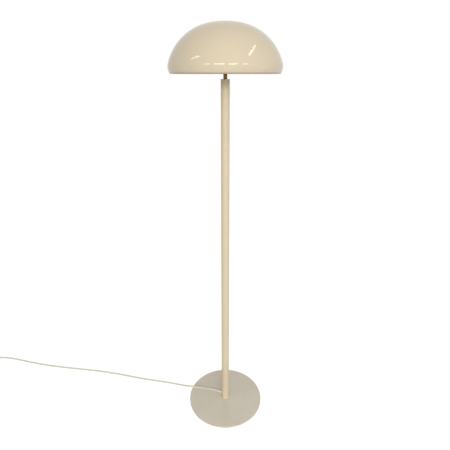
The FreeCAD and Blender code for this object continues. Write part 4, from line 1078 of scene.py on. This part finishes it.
class LAMP_OT_foot_switch(bpy.types.Operator):
    """Makes the foot switch's casing, button and cord entries"""

    bl_idname = "lamp.foot_switch"
    bl_label = "Foot switch"

    COUNT = 40
    WALL = 2.0 * MM
    EDGE = 5.0 * MM
    EDGE_STEPS = 8
    SEAM = 0.3 * MM
    HOLE_R = 10.3 * MM
    HOLE_EDGE = 0.3 * MM
    DISH_R = 13.0 * MM
    DISH_D = 0.7 * MM
    WIRE_R = 0.45 * MM
    SPRING_TURNS = 5
    SPRING_STEPS_PER_TURN = 32
    BLOCK_TOP = 11.5 * MM
    TRAVEL = 3.0 * MM
    TRAY_EDGE = 1.0 * MM
    TRAY_LOW = 1.5 * MM
    TRAY_STEPS = 5
    BUTTON_R = 10.0 * MM
    BUTTON_WALL = 1.5 * MM
    BUTTON_ROOF = 3.0 * MM
    # The button's top: radius and depth below its highest line, in millimetres
    BUTTON_TOP = (
        (0.0, 1.1), (2.5, 1.05), (5.0, 0.75), (6.8, 0.3), (7.3, 0.12), (7.5, 0.3), (7.7, 0.3),
        (7.9, 0.03), (8.5, 0.0), (9.1, 0.12), (9.6, 0.5), (9.9, 1.0), (10.0, 1.6),
    )
    FLANGE_TOP = 21.7 * MM
    FLANGE_T = 2.0 * MM
    RELIEF_ROOT_R = 4.4 * MM
    RELIEF_ROOT_L = 4.0 * MM
    RELIEF_L = 20.0 * MM

    def cover(self):
        """The rounded upper casing with a shallow dish round the button."""
        low, top = SWITCH_LOW.z, SWITCH_HIGH.z
        roof, dish = top - self.WALL, top - self.DISH_D
        shape = [(stadium, self.WALL, low), (stadium, self.SEAM, low), (stadium, 0.0, low + self.SEAM)]
        for k in range(self.EDGE_STEPS + 1):
            angle = math.pi / 2 * k / self.EDGE_STEPS
            inset = self.EDGE * (1 - math.cos(angle))
            shape.append((stadium, inset, top - self.EDGE * (1 - math.sin(angle))))
        shape += [
            (switch_circle, self.DISH_R + self.DISH_D, top),
            (switch_circle, self.DISH_R, dish),
            (switch_circle, self.HOLE_R + self.HOLE_EDGE, dish),
            (switch_circle, self.HOLE_R, dish - self.HOLE_EDGE),
            (switch_circle, self.HOLE_R, roof),
            (stadium, self.EDGE, roof),
            (stadium, self.WALL, top - self.EDGE),
        ]
        rings = [outline(size, z, self.COUNT) for outline, size, z in shape]
        cover = loft("switch_top", rings, closed=True, sharp=30)
        place(cover, "switch_plastic", "stand", "switch_cover")

    def tray(self):
        """The flatter lower casing."""
        low, top = self.TRAY_LOW, SWITCH_SPLIT_Z
        shape = [(self.TRAY_EDGE, low)]
        for k in range(1, self.TRAY_STEPS + 1):
            angle = math.pi / 2 * k / self.TRAY_STEPS
            inset = self.TRAY_EDGE * (1 - math.sin(angle))
            shape.append((inset, low + self.TRAY_EDGE * (1 - math.cos(angle))))
        shape += [(0.0, top - self.SEAM), (self.SEAM, top), (self.WALL, top), (self.WALL, low + self.WALL)]
        rings = [stadium(inset, z, self.COUNT) for inset, z in shape]
        tray = loft("switch_tray", rings, sharp=30)
        place(tray, "switch_plastic", "stand", "switch_base")

    def button(self):
        """A round button with a dished top and a fine ring."""
        high, skirt = BUTTON_HIGH.z, BUTTON_LOW.z
        radius, inside = self.BUTTON_R, self.BUTTON_R - self.BUTTON_WALL
        flange_r = BUTTON_HIGH.x - SWITCH_CENTRE.x
        flange_top, flange_low = self.FLANGE_TOP, self.FLANGE_TOP - self.FLANGE_T
        roof = high - self.BUTTON_ROOF
        outline = [(r * MM, high - depth * MM) for r, depth in self.BUTTON_TOP]
        outline += [
            (radius, flange_top), (flange_r, flange_top), (flange_r, flange_low), (radius, flange_low),
            (radius, skirt), (inside, skirt), (inside, roof), (0.0, roof),
        ]
        button = lathe("push_button", outline, 72, sharp=35)
        button.data.transform(Matrix.Translation(SWITCH_CENTRE))
        place(button, "switch_plastic", "button", "switch_button")

    def spring(self):
        """The button's spring, a coil of round wire."""
        low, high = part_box("switch_spring")
        start, end = low.z + self.WIRE_R, high.z - self.WIRE_R
        radius = (high.x - low.x) / 2 - self.WIRE_R
        stations = self.SPRING_TURNS * self.SPRING_STEPS_PER_TURN
        points = []
        for k in range(stations + 1):
            angle = k / self.SPRING_STEPS_PER_TURN * FULL_TURN
            points.append(SWITCH_CENTRE + polar(radius, angle, start + (end - start) * k / stations))
        spring = rod("button_spring", points, self.WIRE_R, 10)
        place(spring, "spring_steel", "stand", "switch_spring")
        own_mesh(spring)

    def reliefs(self):
        """A grooved taper at each end."""
        root, depth = self.RELIEF_ROOT_R, self.RELIEF_ROOT_L
        ends = []
        for way, y in ((1, SWITCH_HIGH.y), (-1, SWITCH_LOW.y)):
            head = [(0.0, -depth), (root, -depth), (root, 0.0)]
            bush = grooved_taper("relief", head, root, self.RELIEF_L)
            turn_to(bush, Vector((0, way, 0)), Vector((SWITCH_CENTRE.x, y, SWITCH_SPLIT_Z)))
            ends.append(bush)
        place(joined("switch_bushes", ends), "cord_sheath", "stand", "switch_reliefs")

    def execute(self, context):
        self.cover()
        self.tray()
        self.button()
        self.spring()
        self.reliefs()
        return {"FINISHED"}


class LAMP_OT_plug(bpy.types.Operator):
    """Makes the flat two-pin plug's body and its strain relief"""

    bl_idname = "lamp.plug"
    bl_label = "Plug"

    COUNT = 64
    SQUARENESS = 5.0
    STEPS = 72
    # Half widths in millimetres at shares of the length, and how the middle one is rounded
    WIDTHS = ((0.0, 7.5), (0.5, 17.4), (1.0, 13.0))
    MIDDLE_CUT = 1.1
    MIDDLE_SPREAD = 0.09
    # The finger ribs: first and last share of the length, count and depth in millimetres
    RIBS_FROM = 0.1
    RIBS_TO = 0.42
    RIBS = 10
    RIB_D = 0.35
    LEAST_HALF_W = 0.5
    END_R = 2.0
    RELIEF_ROOT_R = 5.0 * MM
    RELIEF_L = 22.0 * MM

    def section(self, half_w, half_h, y):
        """A rounded rectangle across the plug."""
        power = 2 / self.SQUARENESS
        points = []
        for k in range(self.COUNT):
            angle = FULL_TURN * k / self.COUNT
            across, up = math.cos(angle), math.sin(angle)
            x = math.copysign(abs(across) ** power, across) * half_w
            z = math.copysign(abs(up) ** power, up) * half_h
            points.append(Vector((PLUG_X + x, y, PLUG_Z + z)))
        return points

    def body(self):
        """Wide in the middle, narrower at both ends, with finger ribs at the rear."""
        half_h = (PLUG_HIGH.z - PLUG_LOW.z) / 2
        length = PLUG_FRONT_Y - PLUG_REAR_Y
        rings = []
        for k in range(self.STEPS + 1):
            share = k / self.STEPS
            (s0, w0), (s1, w1) = self.WIDTHS[:2] if share <= self.WIDTHS[1][0] else self.WIDTHS[1:]
            half_w = w0 + (w1 - w0) * (share - s0) / (s1 - s0)
            half_w -= self.MIDDLE_CUT * math.exp(-((share - 0.5) / self.MIDDLE_SPREAD) ** 2)
            rib = 0.0
            if self.RIBS_FROM < share < self.RIBS_TO:
                turn = (share - self.RIBS_FROM) / (self.RIBS_TO - self.RIBS_FROM) * math.pi * self.RIBS
                rib = self.RIB_D * max(0.0, math.sin(turn)) ** 2
            near_end = max(0.0, self.END_R - min(share, 1 - share) * length / MM)
            shrink = self.END_R - math.sqrt(max(0.0, self.END_R ** 2 - near_end ** 2))
            width = max(self.LEAST_HALF_W, half_w - rib - shrink) * MM
            height = half_h - (0.5 * rib + shrink) * MM
            rings.append(self.section(width, height, PLUG_REAR_Y + share * length))
        return loft("plug_shell", rings, sharp=45)

    def execute(self, context):
        place(self.body(), "plug_plastic", "stand", "plug_body")
        root = self.RELIEF_ROOT_R
        bush = grooved_taper("plug_bush", [(0.0, 0.0), (root, 0.0)], root, self.RELIEF_L)
        turn_to(bush, Vector((0, -1, 0)), Vector((PLUG_X, PLUG_REAR_Y, PLUG_Z)))
        place(bush, "cord_sheath", "stand", "plug_relief")
        return {"FINISHED"}


def dress(node, slot):
    """Gives a construction node, which stays as it is, its finish."""
    shown = frame["nodes"][node]
    for holder in shown.material_slots:
        holder.material = finish(slot)


class LAMP_OT_inner_parts(bpy.types.Operator):
    """Gives every construction part that stays its own finish"""

    bl_idname = "lamp.inner_parts"
    bl_label = "Inner parts"

    def execute(self, context):
        for part in frame["record"]["subparts"]:
            dress(part["node"], part["material_slot"])
        return {"FINISHED"}


class LAMP_OT_stage(bpy.types.Operator):
    """Makes the floor, the soft lights and the white surroundings"""

    bl_idname = "lamp.stage"
    bl_label = "Stage"

    WORLD_LIGHT = 0.4
    FLOOR_SIZE = 40.0
    FLOOR_COLOUR = 0.55
    FLOOR_LIFT = 0.78
    SUNS = (
        # Name, strength, way of its rays
        ("main_light", 0.9, (-0.2475, 0.9237, -0.2924)),
        ("back_light", 0.45, (0.1, -0.97, -0.22)),
    )
    SUN_ANGLE = 25.0
    FILL_PLACE = (0.5, -3.4, 0.6)
    FILL_SIZE = 1.0
    FILL_WATTS = 24.0
    # Strip lamps: middle, half of the long side as a vector, short side and radiance
    STRIPS = (
        ("strip_1", (-1.727, -2.561, 1.897), (0.24, -0.16, 0.04), 0.28, 8.0),
        ("strip_2", (-0.610, -3.020, 1.910), (0.48, -0.10, 0.0), 0.38, 9.0),
        ("strip_3", (0.800, -2.960, 1.950), (0.42, 0.13, 0.02), 0.32, 8.5),
        ("strip_4", (1.891, -2.441, 1.892), (0.19, 0.15, 0.02), 0.28, 9.0),
        ("strip_left", (-2.347, -1.070, 2.934), (0.25, -0.265, 0.183), 0.13, 8.0),
        ("strip_right_low", (1.998, -1.120, 3.317), (0.05, 0.286, 0.097), 0.16, 9.0),
        ("strip_right_high", (2.030, -0.374, 3.491), (-0.016, 0.46, 0.075), 0.13, 8.0),
    )

    def seen_directly(self, tree):
        """1 for camera, mirror and see-through rays, and 0 for the light itself."""
        path = tree.nodes.new("ShaderNodeLightPath")
        seen = path.outputs["Is Camera Ray"]
        for name in ("Is Glossy Ray", "Is Transmission Ray"):
            both = tree.nodes.new("ShaderNodeMath")
            both.operation = "MAXIMUM"
            tree.links.new(seen, both.inputs[0])
            tree.links.new(path.outputs[name], both.inputs[1])
            seen = both.outputs["Value"]
        return seen

    def world(self):
        world = bpy.data.worlds.new("surroundings")
        world.use_nodes = True
        tree = world.node_tree
        choice = tree.nodes.new("ShaderNodeMixShader")
        tree.links.new(self.seen_directly(tree), choice.inputs["Fac"])
        white = tree.nodes.new("ShaderNodeBackground")
        for k, (light, strength) in enumerate(((tree.nodes["Background"], self.WORLD_LIGHT), (white, 1.0))):
            light.inputs["Color"].default_value = (1, 1, 1, 1)
            light.inputs["Strength"].default_value = strength
            tree.links.new(light.outputs["Background"], choice.inputs[1 + k])
        tree.links.new(choice.outputs["Shader"], tree.nodes["World Output"].inputs["Surface"])
        bpy.context.scene.world = world

    def floor(self):
        half = self.FLOOR_SIZE / 2
        bm = bmesh.new()
        corners = [bm.verts.new((x * half, y * half, 0)) for x, y in ((-1, -1), (1, -1), (1, 1), (-1, 1))]
        bm.faces.new(corners)
        floor = finished("floor", bm)
        material = bpy.data.materials.new("floor_white")
        material.use_nodes = True
        tree = material.node_tree
        surface = tree.nodes["Principled BSDF"]
        surface.inputs["Base Color"].default_value = (*[self.FLOOR_COLOUR] * 3, 1)
        surface.inputs["Roughness"].default_value = 0.9
        surface.inputs["Specular IOR Level"].default_value = 0.0
        lift = tree.nodes.new("ShaderNodeMath")
        lift.operation = "MULTIPLY"
        lift.inputs[1].default_value = self.FLOOR_LIFT
        tree.links.new(self.seen_directly(tree), lift.inputs[0])
        surface.inputs["Emission Color"].default_value = (1, 1, 1, 1)
        tree.links.new(lift.outputs["Value"], surface.inputs["Emission Strength"])
        floor.data.materials.append(material)

    def lamp(self, name, kind, energy, **settings):
        data = bpy.data.lights.new(name, kind)
        data.energy = energy
        for key, value in settings.items():
            setattr(data, key, value)
        return in_scene(name, data)

    def soft_lights(self):
        """The suns and a low lamp that reaches the stem. They leave no mark in the gloss."""
        lamps = []
        for name, strength, way in self.SUNS:
            sun = self.lamp(name, "SUN", strength, angle=math.radians(self.SUN_ANGLE))
            lamps.append((sun, Vector(way)))
        low = self.lamp("low_light", "AREA", self.FILL_WATTS, shape="DISK", size=self.FILL_SIZE)
        low.location = self.FILL_PLACE
        lamps.append((low, -Vector(self.FILL_PLACE).xy.to_3d()))
        for lamp, way in lamps:
            lamp.rotation_euler = way.to_track_quat("-Z", "Y").to_euler()
            lamp.visible_glossy = False

    def strip(self, name, middle, half, short, radiance):
        """A strip lamp that faces the shade, its long side along half."""
        along = Vector(half)
        long = 2 * along.length
        power = radiance * math.pi * long * short
        lamp = self.lamp(name, "AREA", power, shape="RECTANGLE", size=long, size_y=short)
        back = (Vector(middle) - Vector((0, 0, SHADE_LOW.z))).normalized()
        side = (along - along.project(back)).normalized()
        turn = Matrix((side, back.cross(side), back)).transposed()
        lamp.matrix_world = Matrix.Translation(middle) @ turn.to_4x4()

    def execute(self, context):
        context.scene.view_settings.view_transform = "Standard"
        self.world()
        self.floor()
        self.soft_lights()
        for values in self.STRIPS:
            self.strip(*values)
        return {"FINISHED"}


class LAMP_PT_panel(bpy.types.Panel):
    """Lists the lamp's sizes, colours and pieces"""

    bl_label = "Floor lamp"
    bl_idname = "LAMP_PT_panel"
    bl_space_type = "VIEW_3D"
    bl_region_type = "UI"
    bl_category = "Floor lamp"

    def draw(self, context):
        layout = self.layout
        for group in (context.scene.lamp_sizes, context.scene.lamp_colours):
            for name in group.bl_rna.properties.keys():
                if name not in ("rna_type", "name"):
                    layout.prop(group, name)
        for operator in OPERATORS:
            layout.operator(operator.bl_idname)


OPERATORS = [
    LAMP_OT_camera,
    LAMP_OT_stage,
    LAMP_OT_inner_parts,
    LAMP_OT_cords,
    LAMP_OT_foot,
    LAMP_OT_stem,
    LAMP_OT_shade,
    LAMP_OT_holder,
    LAMP_OT_bulb,
    LAMP_OT_strap,
    LAMP_OT_foot_switch,
    LAMP_OT_plug,
    LAMP_OT_declare_cords,
]
CLASSES = [LampSizes, LampColours, *OPERATORS, LAMP_PT_panel]


def register():
    for item in CLASSES:
        bpy.utils.register_class(item)
    bpy.types.Scene.lamp_sizes = PointerProperty(type=LampSizes)
    bpy.types.Scene.lamp_colours = PointerProperty(type=LampColours)


def unregister():
    del bpy.types.Scene.lamp_colours
    del bpy.types.Scene.lamp_sizes
    for item in reversed(CLASSES):
        bpy.utils.unregister_class(item)


def main():
    register()
    for operator in OPERATORS:
        group, name = operator.bl_idname.split(".")
        getattr(getattr(bpy.ops, group), name)()


if __name__ == "__main__":
    main()
